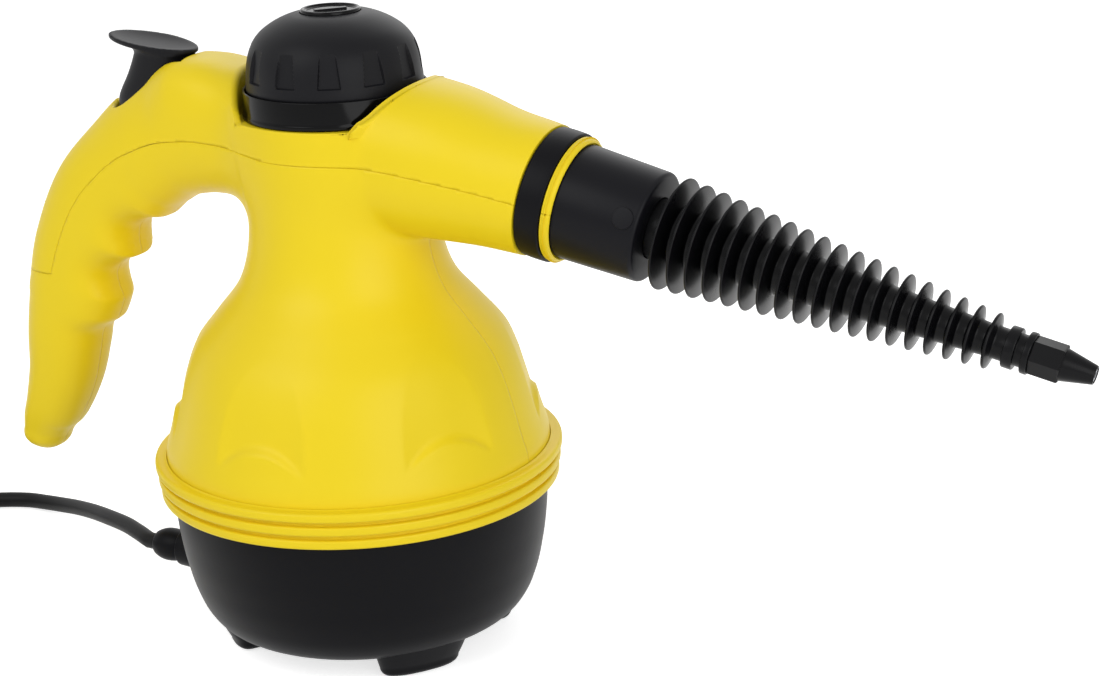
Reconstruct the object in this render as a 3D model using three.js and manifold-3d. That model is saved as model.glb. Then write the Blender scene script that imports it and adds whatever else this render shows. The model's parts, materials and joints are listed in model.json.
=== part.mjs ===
// Hand-held steam cleaner: a kettle-like boiler in a black base and a yellow bell, a curved handle with
// a thumb lever, a safety cap over the filler and a finned jet nozzle on a sloping neck.
// Millimetres, +Z up, +X towards the nozzle. The boiler's axis is X = Y = 0 until the last lines, which
// set the origin under the middle of the cleaner.
import * as THREE from "three";
import { mergeVertices } from "three/addons/utils/BufferGeometryUtils.js";
import Module from "manifold-3d";

const wasm = await Module();
wasm.setup();

// Driving sizes of the whole cleaner
const bandDiameter = 144; // over the ribs where bell and base meet
const bellFoot = 66; // height of the bell's lower edge, inside the band
const towerTop = 190; // height of the bell's upper end, under the cap
const towerRadius = 32.6; // of the bell there
const recessFloor = 189; // the flat under the filler collar
const handleReach = 144.6; // boiler axis to the end of the handle's centre line
const neckReach = 78.2; // boiler axis to the black neck ring
const neckHeight = 167.3; // height of the nozzle's axis there
const beamHeight = 183; // height of the centre line over the boiler
const neckRadius = 22.3; // the neck where it meets the ring
const nozzleDroop = 13.3; // degrees that the nozzle points down
const nozzleLength = 188.6; // neck ring to tip
const wall = 2.5; // moulded shells
const clearance = 0.3; // between fixed pieces that touch
const runClearance = 0.4; // between pieces that slide or turn
const overrun = 1; // how far a cutter passes the face it opens
const parting = 0.3; // gap at the moulded parting lines

// How fine the faces are
const roundSides = 28;
const middleSides = 16;
const smallSides = 10;
const finSides = 12;
const springSteps = 8; // in each turn
const skinCell = 9.6;
const coreCell = 13.5;

const degrees = Math.PI / 180;
const bandRadius = bandDiameter / 2;
const up = new THREE.Vector3(0, 0, 1);

// Materials, coloured as moulded plastic, metal and rubber
const paint = (color, roughness, metalness = 0) =>
  new THREE.MeshStandardMaterial({ color, roughness, metalness });
const yellowPlastic = paint(0xeed430, 0.35);
const blackPlastic = paint(0x1c1d20, 0.5);
const glossBlack = paint(0x101113, 0.15);
const darkPlastic = paint(0x2a2b2e, 0.65);
const castAluminium = paint(0xb9bcc0, 0.5, 0.9);
const brass = paint(0xc6a04a, 0.35, 0.9);
const steel = paint(0xa9abb0, 0.3, 0.95);
const siliconeRed = paint(0xa8402e, 0.7);
const blackRubber = paint(0x141415, 0.85);
const ceramicWhite = paint(0xe9e6dc, 0.6);

// A closed geometry as a solid: shared corners merged, faces turned outwards
function solid(geometry) {
  const bare = geometry.index ? geometry.toNonIndexed() : geometry.clone();
  const points = new THREE.BufferGeometry();
  points.setAttribute("position", bare.getAttribute("position"));
  const merged = mergeVertices(points, 1e-4);
  const place = merged.getAttribute("position").array;
  const triangles = Array.from(merged.index.array);
  const corner = (i) => new THREE.Vector3().fromArray(place, 3 * triangles[i]);
  const kept = [];
  let volume = 0;
  for (let i = 0; i < triangles.length; i += 3) {
    const [a, b, c] = triangles.slice(i, i + 3);
    if (a === b || b === c || c === a) continue;
    kept.push(a, b, c);
    volume += corner(i).dot(corner(i + 1).cross(corner(i + 2)));
  }
  if (volume < 0)
    for (let i = 0; i < kept.length; i += 3)
      [kept[i + 1], kept[i + 2]] = [kept[i + 2], kept[i + 1]];
  return new wasm.Manifold(
    new wasm.Mesh({
      numProp: 3,
      vertProperties: new Float32Array(place),
      triVerts: new Uint32Array(kept),
    }),
  );
}

function geometryOf(made) {
  const mesh = made.getMesh();
  const geometry = new THREE.BufferGeometry();
  const place = new THREE.BufferAttribute(new Float32Array(mesh.vertProperties), 3);
  geometry.setAttribute("position", place);
  geometry.setIndex(Array.from(mesh.triVerts));
  return geometry;
}

const joined = (...solids) => solids.reduce((a, b) => a.add(b));
const without = (body, ...cutters) => cutters.reduce((a, b) => a.subtract(b), body);

// A profile of [radius, height] points turned about Z
function turned(profile, sides = roundSides) {
  const points = [...profile, profile[0]].map(([r, z]) => new THREE.Vector2(r, z));
  return solid(new THREE.LatheGeometry(points, sides).rotateX(Math.PI / 2));
}

function disc(radius, low, high, sides = smallSides) {
  return turned([[0, low], [radius, low], [radius, high], [0, high]], sides);
}

function ring(inner, outer, low, high, sides = smallSides) {
  return turned([[inner, low], [outer, low], [outer, high], [inner, high]], sides);
}

// A box from its lower corner to its upper corner
function block(x0, y0, z0, x1, y1, z1) {
  const box = new THREE.BoxGeometry(x1 - x0, y1 - y0, z1 - z0);
  return solid(box.translate((x0 + x1) / 2, (y0 + y1) / 2, (z0 + z1) / 2));
}

// An outline in the XZ plane, half as wide as given to each side of Y = 0
function plate(outline, half) {
  const shape = new THREE.Shape(outline.map(([x, z]) => new THREE.Vector2(x, z)));
  const slab = new THREE.ExtrudeGeometry(shape, { depth: 2 * half, bevelEnabled: false });
  return solid(slab.translate(0, 0, -half).rotateX(Math.PI / 2));
}

// A round tube along hand-placed points
function pipe(points, radius, steps, sides = 8) {
  const path = new THREE.CatmullRomCurve3(points.map((p) => new THREE.Vector3(...p)));
  const section = new THREE.Shape();
  for (let i = 0; i < sides; i++) {
    const angle = (2 * Math.PI * i) / sides;
    const corner = [radius * Math.cos(angle), radius * Math.sin(angle)];
    if (i) section.lineTo(...corner);
    else section.moveTo(...corner);
  }
  section.closePath();
  return solid(new THREE.ExtrudeGeometry(section, { steps, extrudePath: path }));
}

// A wound tube: one ring of corners at each point, carried along without twisting
function wound(path, radius, sides) {
  const place = [];
  const faces = [];
  let side = null;
  path.forEach((point, i) => {
    const ahead = path[Math.min(i + 1, path.length - 1)];
    const behind = path[Math.max(i - 1, 0)];
    const along = ahead.clone().sub(behind).normalize();
    if (!side) side = new THREE.Vector3(0, 0, 1);
    side.addScaledVector(along, -side.dot(along)).normalize();
    const other = along.clone().cross(side);
    for (let k = 0; k < sides; k++) {
      const angle = (2 * Math.PI * k) / sides;
      const out = side.clone().multiplyScalar(Math.cos(angle));
      out.addScaledVector(other, Math.sin(angle));
      place.push(...point.clone().addScaledVector(out, radius).toArray());
    }
  });
  for (let i = 0; i < path.length - 1; i++)
    for (let k = 0; k < sides; k++) {
      const [a, b] = [i * sides + k, i * sides + ((k + 1) % sides)];
      faces.push(a, b, b + sides, a, b + sides, a + sides);
    }
  const last = (path.length - 1) * sides;
  for (let k = 1; k < sides - 1; k++) faces.push(0, k + 1, k, last, last + k, last + k + 1);
  const geometry = new THREE.BufferGeometry();
  geometry.setAttribute("position", new THREE.Float32BufferAttribute(place, 3));
  geometry.setIndex(faces);
  return solid(geometry);
}

// A coil spring along Z between two heights
function spring(radius, wire, low, high, turns) {
  const path = [];
  const steps = springSteps * turns;
  for (let i = 0; i <= steps; i++) {
    const angle = (2 * Math.PI * i) / springSteps;
    const z = low + wire + ((high - low - 2 * wire) * i) / steps;
    path.push(new THREE.Vector3(radius * Math.cos(angle), radius * Math.sin(angle), z));
  }
  return wound(path, wire, 5);
}

// A smooth value between the rows of a table, by Hermite steps on its first column
function between(table, at, column) {
  const last = table.length - 1;
  if (at <= table[0][0]) return table[0][column];
  if (at >= table[last][0]) return table[last][column];
  let i = 0;
  while (at > table[i + 1][0]) i++;
  const slope = (k) => {
    const [a, b] = [table[Math.max(k - 1, 0)], table[Math.min(k + 1, last)]];
    return (b[column] - a[column]) / (b[0] - a[0]);
  };
  const [low, high] = [table[i], table[i + 1]];
  const span = high[0] - low[0];
  const t = (at - low[0]) / span;
  const [t2, t3] = [t * t, t * t * t];
  return (
    low[column] * (2 * t3 - 3 * t2 + 1) +
    high[column] * (3 * t2 - 2 * t3) +
    span * (slope(i) * (t3 - 2 * t2 + t) + slope(i + 1) * (t3 - t2))
  );
}

const ease = (t) => {
  const u = Math.min(Math.max(t, 0), 1);
  return u * u * (3 - 2 * u);
};
const blendOf = (a, b, reach) => {
  const h = Math.max(reach - Math.abs(a - b), 0) / reach;
  return Math.min(a, b) - (h * h * reach) / 4;
};

// The yellow skin is one smooth surface: a turned bell melted into a swept beam that is handle, bridge
// and neck. Each is given as a distance, below zero inside.

// The bell: share of its height, share of the band's radius
const bellRise = towerTop - bellFoot;
const bellShares = [
  [0, 0.89], [0.057, 0.887], [0.114, 0.836], [0.195, 0.766], [0.276, 0.686], [0.358, 0.561],
  [0.439, 0.355], [0.52, 0.147], [0.602, 0.046], [0.7, 0.004], [0.846, 0], [1, 0],
]; // height by the bell's rise, radius from the tower's to the band's
const dimpleCount = 6;
const dimpleTurn = -90; // degrees of the first, facing -Y
const dimpleHalfAngle = 15.2;
const dimpleLow = 79;
const dimpleTop = 116;
const dimpleDepth = 2.6;
const lipRise = 7.8; // how far the domed ledge rises in the middle
const lipRamp = 3;
const bellSpare = 2 * skinCell; // runs on below the foot, to be cut off level

function dimple(x, y, z) {
  const step = 360 / dimpleCount;
  const turn = Math.atan2(y, x) / degrees - dimpleTurn + step / 2;
  const angle = (((turn % step) + step) % step) - step / 2;
  const rise = Math.min(Math.max((z - dimpleLow) / (dimpleTop - dimpleLow), 0), 1);
  if (rise === 0 || rise === 1) return 0;
  const half = dimpleHalfAngle * Math.sqrt(1 - rise ** 3);
  const across = Math.min(Math.abs(angle) / dimpleHalfAngle, 1);
  const lip = dimpleLow + lipRise * (1 - across ** 2);
  const inside = 1 - Math.min(Math.abs(angle) / half, 1) ** 2;
  return dimpleDepth * (1 - rise) * inside * ease((z - lip) / lipRamp);
}

function bellDistance(x, y, z, inset) {
  const share = (z - bellFoot) / bellRise;
  const tiny = 0.01;
  const spread = bandRadius - towerRadius;
  const radius = towerRadius + spread * between(bellShares, share, 1);
  const near = between(bellShares, share + tiny, 1) - between(bellShares, share - tiny, 1);
  const lean = (spread * near) / (2 * tiny * bellRise);
  const out = (Math.hypot(x, y) - radius + dimple(x, y, z)) / Math.hypot(1, lean);
  return Math.max(out + inset, z - towerTop + inset, bellFoot - bellSpare - z - inset);
}

// The beam: shares of the reach and height, then of the neck radius for the half thickness on the
// outer side, on the inner side and across. Rows run from the handle's end to the boiler's far side.
const beamShares = [
  [-0.972, 0.325, 0.24, 0.47, 0.44], [-0.955, 0.36, 0.28, 0.57, 0.51],
  [-0.925, 0.4, 0.38, 0.64, 0.56], [-0.885, 0.465, 0.53, 0.67, 0.61],
  [-0.862, 0.53, 0.625, 0.69, 0.65], [-0.846, 0.576, 0.67, 0.7, 0.662],
  [-0.832, 0.612, 0.71, 0.93, 0.67], [-0.82, 0.642, 0.75, 0.965, 0.676],
  [-0.775, 0.721, 0.86, 0.969, 0.691], [-0.692, 0.82, 0.96, 0.96, 0.717],
  [-0.581, 0.907, 0.98, 0.969, 0.753], [-0.52, 0.94, 1.06, 0.969, 0.79],
  [-0.456, 0.967, 1.15, 0.99, 0.825], [-0.39, 0.984, 1.19, 1.03, 0.87],
  [-0.33, 0.994, 1.1, 1.07, 0.915], [-0.27, 0.998, 0.99, 1.1, 0.96],
  [-0.2, 1, 0.93, 1.15, 1.03], [-0.138, 1, 0.94, 1.211, 1.121],
];
const bridgeShares = [
  [0.128, 0.986, 1.12, 1.283, 1.238], [0.512, 0.958, 1.15, 1.18, 1.211],
  [0.793, 0.934, 1.02, 1.06, 1.09],
];
const endRound = 8; // how round the handle's end is
// How square the beam is by share of its length, outside and inside: 2 is an ellipse, more is squarer
const outerBulgeShares = [
  [0, 2.3], [0.33, 2.3], [0.39, 1.9], [0.435, 1.65], [0.47, 1.65], [0.492, 2.2], [0.513, 2.9],
  [0.54, 3.1], [0.588, 2.6], [0.68, 2.4], [0.936, 2.08],
];
const innerBulgeShares = [[0, 2.5], [0.7, 2.5], [0.936, 2.08]];
const handleBlend = 11;
const neckBlend = 4;
const neckBlendStart = 10;
const neckBlendEnd = 30;
const grooveDepth = 7.2; // between the finger ridges
const ridgeShares = [[-0.491, 0.798], [-0.598, 0.714], [-0.669, 0.617]];

const droop = nozzleDroop * degrees;
const neckOverlap = 16.8;
const onNozzle = (s) => [neckReach + s * Math.cos(droop), neckHeight - s * Math.sin(droop)];
const sized = (reach) => ([x, z, ...thick]) =>
  [x * reach, z * beamHeight, ...thick.map((t) => t * neckRadius)];
const neckRow = (s, share) => [...onNozzle(s), ...Array(3).fill(share * neckRadius)];
const neckEndShare = 0.9;
const beamRows = [
  ...beamShares.map(sized(handleReach)),
  ...bridgeShares.map(sized(neckReach)),
  neckRow(0, 1),
  neckRow(neckOverlap, neckEndShare),
];

// The centre line between the rows, as short straight pieces
const spine = [];
const spinePerRow = 6;
for (let i = 0; i < beamRows.length - 1; i++) {
  const row = (k) => beamRows[Math.min(Math.max(k, 0), beamRows.length - 1)];
  for (let k = 0; k < spinePerRow; k++) {
    const t = k / spinePerRow;
    spine.push(
      row(i).map((b, j) => {
        const [a, c, d] = [row(i - 1)[j], row(i + 1)[j], row(i + 2)[j]];
        const curve = (2 * a - 5 * b + 4 * c - d) * t + (3 * b - a - 3 * c + d) * t * t;
        return b + ((c - a) * t + curve * t) / 2;
      }),
    );
  }
}
spine.push(beamRows.at(-1));
const spineStart = [0];
for (let i = 1; i < spine.length; i++)
  spineStart.push(
    spineStart[i - 1] + Math.hypot(spine[i][0] - spine[i - 1][0], spine[i][1] - spine[i - 1][1]),
  );

// Where a point lies along the spine, how far to its outer side and how far past its end
function onSpine(x, z) {
  let best = { far: Infinity };
  for (let i = 0; i < spine.length - 1; i++) {
    const [[x0, z0], [x1, z1]] = [spine[i], spine[i + 1]];
    const long = Math.hypot(x1 - x0, z1 - z0);
    const [dx, dz] = [(x1 - x0) / long, (z1 - z0) / long];
    const along = (x - x0) * dx + (z - z0) * dz;
    const kept = Math.min(Math.max(along, 0), long);
    const far = Math.hypot(x - x0 - kept * dx, z - z0 - kept * dz);
    if (far >= best.far) continue;
    const atEnd = i === 0 || i === spine.length - 2;
    best = {
      far,
      row: i,
      part: kept / long,
      arc: spineStart[i] + kept,
      side: (z - z0) * dx - (x - x0) * dz,
      past: atEnd ? along - kept : 0,
    };
  }
  return best;
}

const ridgeArcs = ridgeShares.map(([x, z]) => onSpine(x * handleReach, z * beamHeight).arc);
function groove(arc) {
  let depth = 0;
  for (let i = 0; i < ridgeArcs.length - 1; i++) {
    const share = (arc - ridgeArcs[i + 1]) / (ridgeArcs[i] - ridgeArcs[i + 1]);
    if (share > 0 && share < 1) depth += grooveDepth * Math.sin(Math.PI * share);
  }
  return depth;
}

function beamDistance(x, y, z) {
  const { row, part, arc, side, past } = onSpine(x, z);
  const [a, b] = [spine[row], spine[row + 1]];
  const thick = (column) => a[column] + (b[column] - a[column]) * part;
  const half = side > 0 ? thick(2) : thick(3) - groove(arc);
  const bulge = between(side > 0 ? outerBulgeShares : innerBulgeShares, arc / spineStart.at(-1), 1);
  const parts = [side / half, y / thick(4), past / endRound];
  const reach = parts.reduce((sum, v) => sum + Math.abs(v) ** bulge, 0) ** (1 / bulge);
  const far = Math.hypot(side, y, past);
  return reach > 0 ? far - far / reach : -half;
}

function skinDistance(x, y, z, inset = 0) {
  const towards = Math.min(Math.max((x - neckBlendStart) / (neckBlendEnd - neckBlendStart), 0), 1);
  const reach = handleBlend + (neckBlend - handleBlend) * towards;
  return blendOf(bellDistance(x, y, z, inset), beamDistance(x, y, z) + inset, reach);
}

// A closed surface where a distance is zero: one corner in each cell that it crosses, a face across each
// grid edge that it crosses, then every corner slid onto the surface
function skinOf(distance, low, high, cell) {
  const count = low.map((v, i) => Math.ceil((high[i] - v) / cell) + 1);
  const at = (i, j, k) => low.map((v, n) => v + [i, j, k][n] * cell);
  const index = (i, j, k) => (i * count[1] + j) * count[2] + k;
  const value = new Float64Array(count[0] * count[1] * count[2]);
  for (let i = 0; i < count[0]; i++)
    for (let j = 0; j < count[1]; j++)
      for (let k = 0; k < count[2]; k++) value[index(i, j, k)] = distance(...at(i, j, k));
  const cornerOf = new Map();
  const place = [];
  const faces = [];
  for (let i = 0; i < count[0] - 1; i++)
    for (let j = 0; j < count[1] - 1; j++)
      for (let k = 0; k < count[2] - 1; k++) {
        const sum = new THREE.Vector3();
        let crossings = 0;
        for (let axis = 0; axis < 3; axis++)
          for (let n = 0; n < 4; n++) {
            const from = [i, j, k];
            from[(axis + 1) % 3] += n & 1;
            from[(axis + 2) % 3] += n >> 1;
            const to = [...from];
            to[axis] += 1;
            const [a, b] = [value[index(...from)], value[index(...to)]];
            if (a < 0 === b < 0) continue;
            const [p, q] = [at(...from), at(...to)];
            const t = a / (a - b);
            sum.add(new THREE.Vector3(...p.map((v, m) => v + (q[m] - v) * t)));
            crossings += 1;
          }
        if (!crossings) continue;
        cornerOf.set(index(i, j, k), place.length);
        place.push(sum.divideScalar(crossings));
      }
  for (let i = 1; i < count[0] - 1; i++)
    for (let j = 1; j < count[1] - 1; j++)
      for (let k = 1; k < count[2] - 1; k++)
        for (let axis = 0; axis < 3; axis++) {
          const to = [i, j, k];
          to[axis] += 1;
          const [a, b] = [value[index(i, j, k)], value[index(...to)]];
          if (a < 0 === b < 0) continue;
          const round = [[0, 0], [1, 0], [1, 1], [0, 1]].map(([m, n]) => {
            const cellAt = [i, j, k];
            cellAt[(axis + 1) % 3] -= m;
            cellAt[(axis + 2) % 3] -= n;
            return cornerOf.get(index(...cellAt));
          });
          if (a >= 0) round.reverse();
          faces.push(round[0], round[1], round[2], round[0], round[2], round[3]);
        }
  const tiny = cell / 100;
  for (const p of place)
    for (let pass = 0; pass < 4; pass++) {
      const off = distance(p.x, p.y, p.z);
      const slope = new THREE.Vector3(
        distance(p.x + tiny, p.y, p.z) - off,
        distance(p.x, p.y + tiny, p.z) - off,
        distance(p.x, p.y, p.z + tiny) - off,
      ).divideScalar(tiny);
      const step = off / Math.max(slope.lengthSq(), 0.25);
      p.addScaledVector(slope, -Math.sign(step) * Math.min(Math.abs(step), cell / 5));
    }
  const geometry = new THREE.BufferGeometry();
  const flat = place.flatMap((p) => p.toArray());
  geometry.setAttribute("position", new THREE.Float32BufferAttribute(flat, 3));
  geometry.setIndex(faces);
  return solid(geometry);
}

const margin = 2.5 * skinCell;
const skinLow = [-handleReach - margin, -bandRadius - margin, neckRadius];
const skinHigh = [onNozzle(neckOverlap)[0] + margin, bandRadius + margin, towerTop + neckRadius + margin];
const outerSkin = skinOf((x, y, z) => skinDistance(x, y, z), skinLow, skinHigh, skinCell);
const innerSkin = skinOf((x, y, z) => skinDistance(x, y, z, wall), skinLow, skinHigh, coreCell);

// Pieces that stand on the nozzle's axis are drawn along +X and set in this frame
const nozzleFrame = new THREE.Group();
nozzleFrame.position.set(neckReach, 0, neckHeight);
nozzleFrame.rotation.y = droop;
nozzleFrame.updateMatrix();
const moved = (made, matrix) => solid(geometryOf(made).applyMatrix4(matrix));
const alongX = new THREE.Matrix4().makeRotationY(Math.PI / 2);
const alongY = new THREE.Matrix4().makeRotationX(-Math.PI / 2);
const at = (x, y, z) => new THREE.Matrix4().makeTranslation(x, y, z);
const onAxis = (made) => moved(made, alongX);
const inNeck = (made) => moved(onAxis(made), nozzleFrame.matrix);

// Neck end: the spout under the ring and the yellow lip in front of it
const ringLength = 8.8;
const lipEnd = 13.1;
const lipRadius = 21.2;
const lipBore = 19.9;
const lipFloor = 1.5;
const spoutRadius = 19.9;
const spoutBore = 18.2;
const spoutRoot = 6; // how far the spout reaches back into the neck
const shoulderBore = 16.4;
const shoulderLength = 2;
const lipStart = ringLength + clearance;
const spout = inNeck(
  turned([
    [shoulderBore, -spoutRoot], [spoutRadius + wall / 2, -spoutRoot],
    [spoutRadius + wall / 2, -clearance], [spoutRadius, -clearance], [spoutRadius, lipStart],
    [lipRadius, lipStart], [lipRadius, lipEnd], [lipBore, lipEnd], [lipBore, lipStart + lipFloor],
    [spoutBore, lipStart + lipFloor], [spoutBore, shoulderLength - spoutRoot],
    [shoulderBore, shoulderLength - spoutRoot],
  ], middleSides),
);
const farAhead = 2 * bandRadius;
const neckCutAt = (s) => inNeck(disc(bandRadius, s, s + farAhead));

// Cap recess: a drum cut out of the bridge
const recessRadius = 34;
const recessShift = 1;
const collarHole = 14.2;
const above = 2 * neckRadius;
const recess = (grow) =>
  moved(
    disc(recessRadius + grow, recessFloor - grow, towerTop + above, roundSides),
    at(recessShift, 0, 0),
  );

// Lever slot in the handle's back, from its rear end to under the hump
const slotHalf = 9.8;
const slotRear = 91.6;
const slotFront = 56;
const slotFloor = 176;
const slot = block(-slotRear, -slotHalf, slotFloor, -slotFront, slotHalf, towerTop + above);

// Lever pivot, carried by a boss on each side
const pivotX = -52;
const pivotZ = 175.5;
const pinRadius = 2;
const pinHalf = 14;
const hubHalf = 6;
const bossRadius = 4.5;
const acrossAt = (made, x, z) => moved(moved(made, alongY), at(x, 0, z));
const pivotBosses = [-1, 1].map((side) => {
  const [near, far] = [hubHalf + clearance, bandRadius];
  const [low, high] = side < 0 ? [-far, -near] : [near, far];
  return acrossAt(disc(bossRadius, low, high), pivotX, pivotZ).intersect(outerSkin);
});
const pinHole = pinRadius + clearance;
const pivotBore = acrossAt(disc(pinHole, -pinHalf - clearance, pinHalf + clearance), pivotX, pivotZ);

// Screws that pull the housing halves together, entered from the +Y side
const screwPlaces = [
  [-0.885 * handleReach, 0.45 * beamHeight], [-0.755 * handleReach, 0.755 * beamHeight],
  [0.7 * neckReach, 0.865 * beamHeight],
];
const screwShank = 1.4;
const screwHead = 2.8;
const screwHeadLength = 2;
const screwBoss = 3.8;
const screwDepth = 8; // how deep it goes into the near half
const headSink = 6; // how deep the head sits under the far skin
const skinAcross = (x, z) => {
  let y = 0;
  while (skinDistance(x, y, z) < 0) y += clearance;
  return y;
};
const housingScrews = screwPlaces.map(([x, z]) => {
  const seat = skinAcross(x, z) - headSink;
  const boss = acrossAt(disc(screwBoss, -bandRadius, bandRadius), x, z).intersect(outerSkin);
  const hole = joined(
    disc(screwShank + clearance, -screwDepth - overrun, seat + overrun),
    disc(screwHead + clearance, seat, bandRadius),
  );
  const made = joined(
    disc(screwShank, -screwDepth, seat + overrun),
    disc(screwHead, seat + clearance, seat + clearance + screwHeadLength),
  );
  return { boss, hole: acrossAt(hole, x, z), made: acrossAt(made, x, z) };
});

// The whole shell, then its three pieces
const underBell = disc(bandRadius + margin, skinLow[2] - margin, bellFoot);
const outer = without(outerSkin, recess(0), neckCutAt(-clearance), underBell);
const inner = without(innerSkin, recess(wall), neckCutAt(overrun));
const bosses = [...pivotBosses, ...housingScrews.map((screw) => screw.boss)];
const shell = without(
  joined(outer.subtract(inner), spout, ...bosses.map((boss) => boss.intersect(outer))),
  disc(collarHole, recessFloor - 2 * wall, towerTop + overrun, roundSides),
  slot,
  pivotBore,
  ...housingScrews.map((screw) => screw.hole),
);

// The seam follows the spine, rising and falling a little, and leaves through the handle's back
const seamShares = [
  [0.2, 0.045], [0.25, 0.117], [0.32, 0.188], [0.38, 0.166], [0.42, 0.099], [0.47, 0.009],
  [0.52, -0.081], [0.58, -0.157], [0.64, -0.197], [0.69, -0.161], [0.74, -0.09], [0.79, -0.018],
  [0.86, 0.013], [1, 0.022],
]; // share of the spine's length, rise over it by the neck's radius
const coverStartShare = 0.222; // of the spine's length
const farOut = 3 * bandRadius;
function coverRegion(drop) {
  const firstArc = coverStartShare * spineStart.at(-1) - drop;
  const first = spineStart.findIndex((arc) => arc >= firstArc);
  const line = [];
  for (let i = first; i < spine.length; i++) {
    const [before, after] = [spine[i - 1], spine[Math.min(i + 1, spine.length - 1)]];
    const long = Math.hypot(after[0] - before[0], after[1] - before[1]);
    const [dx, dz] = [(after[0] - before[0]) / long, (after[1] - before[1]) / long];
    const rise = neckRadius * between(seamShares, spineStart[i] / spineStart.at(-1), 1) - drop;
    line.push([spine[i][0] - dz * rise, spine[i][1] + dx * rise]);
  }
  const [x0, z0] = line[0];
  const outline = [...line, [neckReach + farOut, z0], [neckReach + farOut, farOut + towerTop]];
  return plate([...outline, [-farOut, farOut + towerTop], [-farOut, z0 + drop]], farOut);
}
const cover = shell.intersect(coverRegion(-parting / 2));
const rest = shell.subtract(coverRegion(parting / 2));
const sideRegion = (side) =>
  block(-farOut, side < 0 ? -farOut : parting / 2, 0, farOut, side < 0 ? -parting / 2 : farOut, farOut);

const part = new THREE.Group();
const capFrame = new THREE.Group();
part.add(nozzleFrame, capFrame);
function piece(name, made, material, parent = part) {
  const mesh = new THREE.Mesh(geometryOf(made), material);
  mesh.name = name;
  parent.add(mesh);
}
// The largest body of a cut piece, without the slivers that a cutter leaves
const mainBody = (made) =>
  made.decompose().reduce((a, b) => (a.volume() > b.volume() ? a : b));

piece("top_cover", mainBody(cover), yellowPlastic);
piece("housing_right", mainBody(rest.intersect(sideRegion(-1))), yellowPlastic);
piece("housing_left", mainBody(rest.intersect(sideRegion(1))), yellowPlastic);
housingScrews.forEach((screw, i) => piece(`housing_screw_${i + 1}`, screw.made, steel));

// Ribbed band: three rings around the foot of the bell, with the shelf that the boiler hangs on
const bandFoot = 57.3;
const ringHeight = 3.5;
const ringGap = 1.2;
const ringStep = 0.7; // each ring is this much larger than the one below
const grooveInset = 1.5;
const bandWall = 3.2;
const shelfTop = 64;
const shelfThick = 3;
const shelfReach = 19; // inwards from the largest ring
const shelfBore = bandRadius - shelfReach;
const bandRings = 3;
const bandTop = bandFoot + bandRings * ringHeight + (bandRings - 1) * ringGap;
const bellFootRadius = towerRadius + bellShares[0][1] * (bandRadius - towerRadius);
const bellSeat = (bellFootRadius + clearance) / Math.cos(Math.PI / roundSides);
const bandProfile = [];
for (let i = 0; i < bandRings; i++) {
  const low = bandFoot + i * (ringHeight + ringGap);
  const radius = bandRadius - (bandRings - 1 - i) * ringStep;
  const soft = ringHeight / 4;
  if (i) bandProfile.push([radius - grooveInset, low]);
  else bandProfile.push([radius - soft, low]);
  bandProfile.push([radius, low + soft], [radius, low + ringHeight - soft]);
  bandProfile.push([radius - grooveInset, low + ringHeight]);
}
const bandBore = bandRadius - ringStep * bandRings - bandWall;
const baseLipTop = shelfTop - shelfThick - clearance;
bandProfile.push(
  [bellSeat, bandTop], [bellSeat, bellFoot - clearance],
  [shelfBore + wall, bellFoot - clearance], [shelfBore + wall, shelfTop], [shelfBore, shelfTop],
  [shelfBore, shelfTop - shelfThick], [bandBore, shelfTop - shelfThick], [bandBore, bandFoot],
);

// Base screws go up through posts of the base into bosses under the shelf
const baseScrewCount = 3;
const baseScrewInset = 19.5;
const baseScrewRadius = bandRadius - baseScrewInset;
const baseScrewTurn = 90;
const postRadius = 4.2;
const postTop = 42;
const baseScrewSeat = 16;
const baseScrewTop = 58;
const baseShank = 1.6;
const baseHead = 3.2;
const headLength = 2.6;
const around = (count, start) =>
  Array.from({ length: count }, (_, i) => (start + (360 * i) / count) * degrees);
const placedRound = (made, radius, angle) =>
  moved(made, at(radius * Math.cos(angle), radius * Math.sin(angle), 0));
const screwAngles = around(baseScrewCount, baseScrewTurn);
const bandBosses = screwAngles.map((angle) =>
  placedRound(
    ring(baseShank + clearance, postRadius, postTop + clearance, shelfTop - overrun),
    baseScrewRadius,
    angle,
  ),
);
piece("ribbed_band", joined(turned(bandProfile), ...bandBosses), yellowPlastic);

// Base: a bowl on four moulded feet, with a rim that enters the band and a boss for the cord
const bowlTop = bandFoot - clearance;
const bowlShares = [
  [0.92, 0.995], [0.898, 0.61], [0.866, 0.34], [0.82, 0.17], [0.75, 0.05], [0.66, 0],
]; // radius by the band's radius, height above the bowl's floor by the bowl's height
const bowlFloor = 7;
const bowlPoint = ([r, h]) => [r * bandRadius, bowlFloor + h * (bowlTop - bowlFloor)];
const bowlRim = bandRadius * bowlShares[0][0];
const rimRadius = bandBore - clearance;
const bowlOuter = turned([
  [0, bowlFloor], ...bowlShares.map(bowlPoint).reverse(), [bowlRim, bowlTop], [0, bowlTop],
]);
const bowlInner = turned([
  [0, bowlFloor + wall],
  ...bowlShares.map(bowlPoint).reverse().map(([r, z]) => [r - wall, Math.max(z, bowlFloor + wall)]),
  [rimRadius - wall, bowlTop], [rimRadius - wall, bowlTop + overrun], [0, bowlTop + overrun],
]);
const rim = ring(rimRadius - wall, rimRadius, bowlTop - wall, baseLipTop, roundSides);
const footTurn = 38; // from straight ahead and from straight behind
const footHalfAngle = 15;
const footInset = 24; // of a foot's outer side from the largest ring
const footOuter = bandRadius - footInset;
const footWide = 11;
const footFlare = 5;
const footTop = 10;
const footEdge = 1.2;
const footRing = turned([
  [footOuter - footWide, 0], [footOuter - footEdge, 0], [footOuter, footEdge],
  [footOuter + footFlare, footTop], [footOuter - footWide, footTop],
]);
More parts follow.
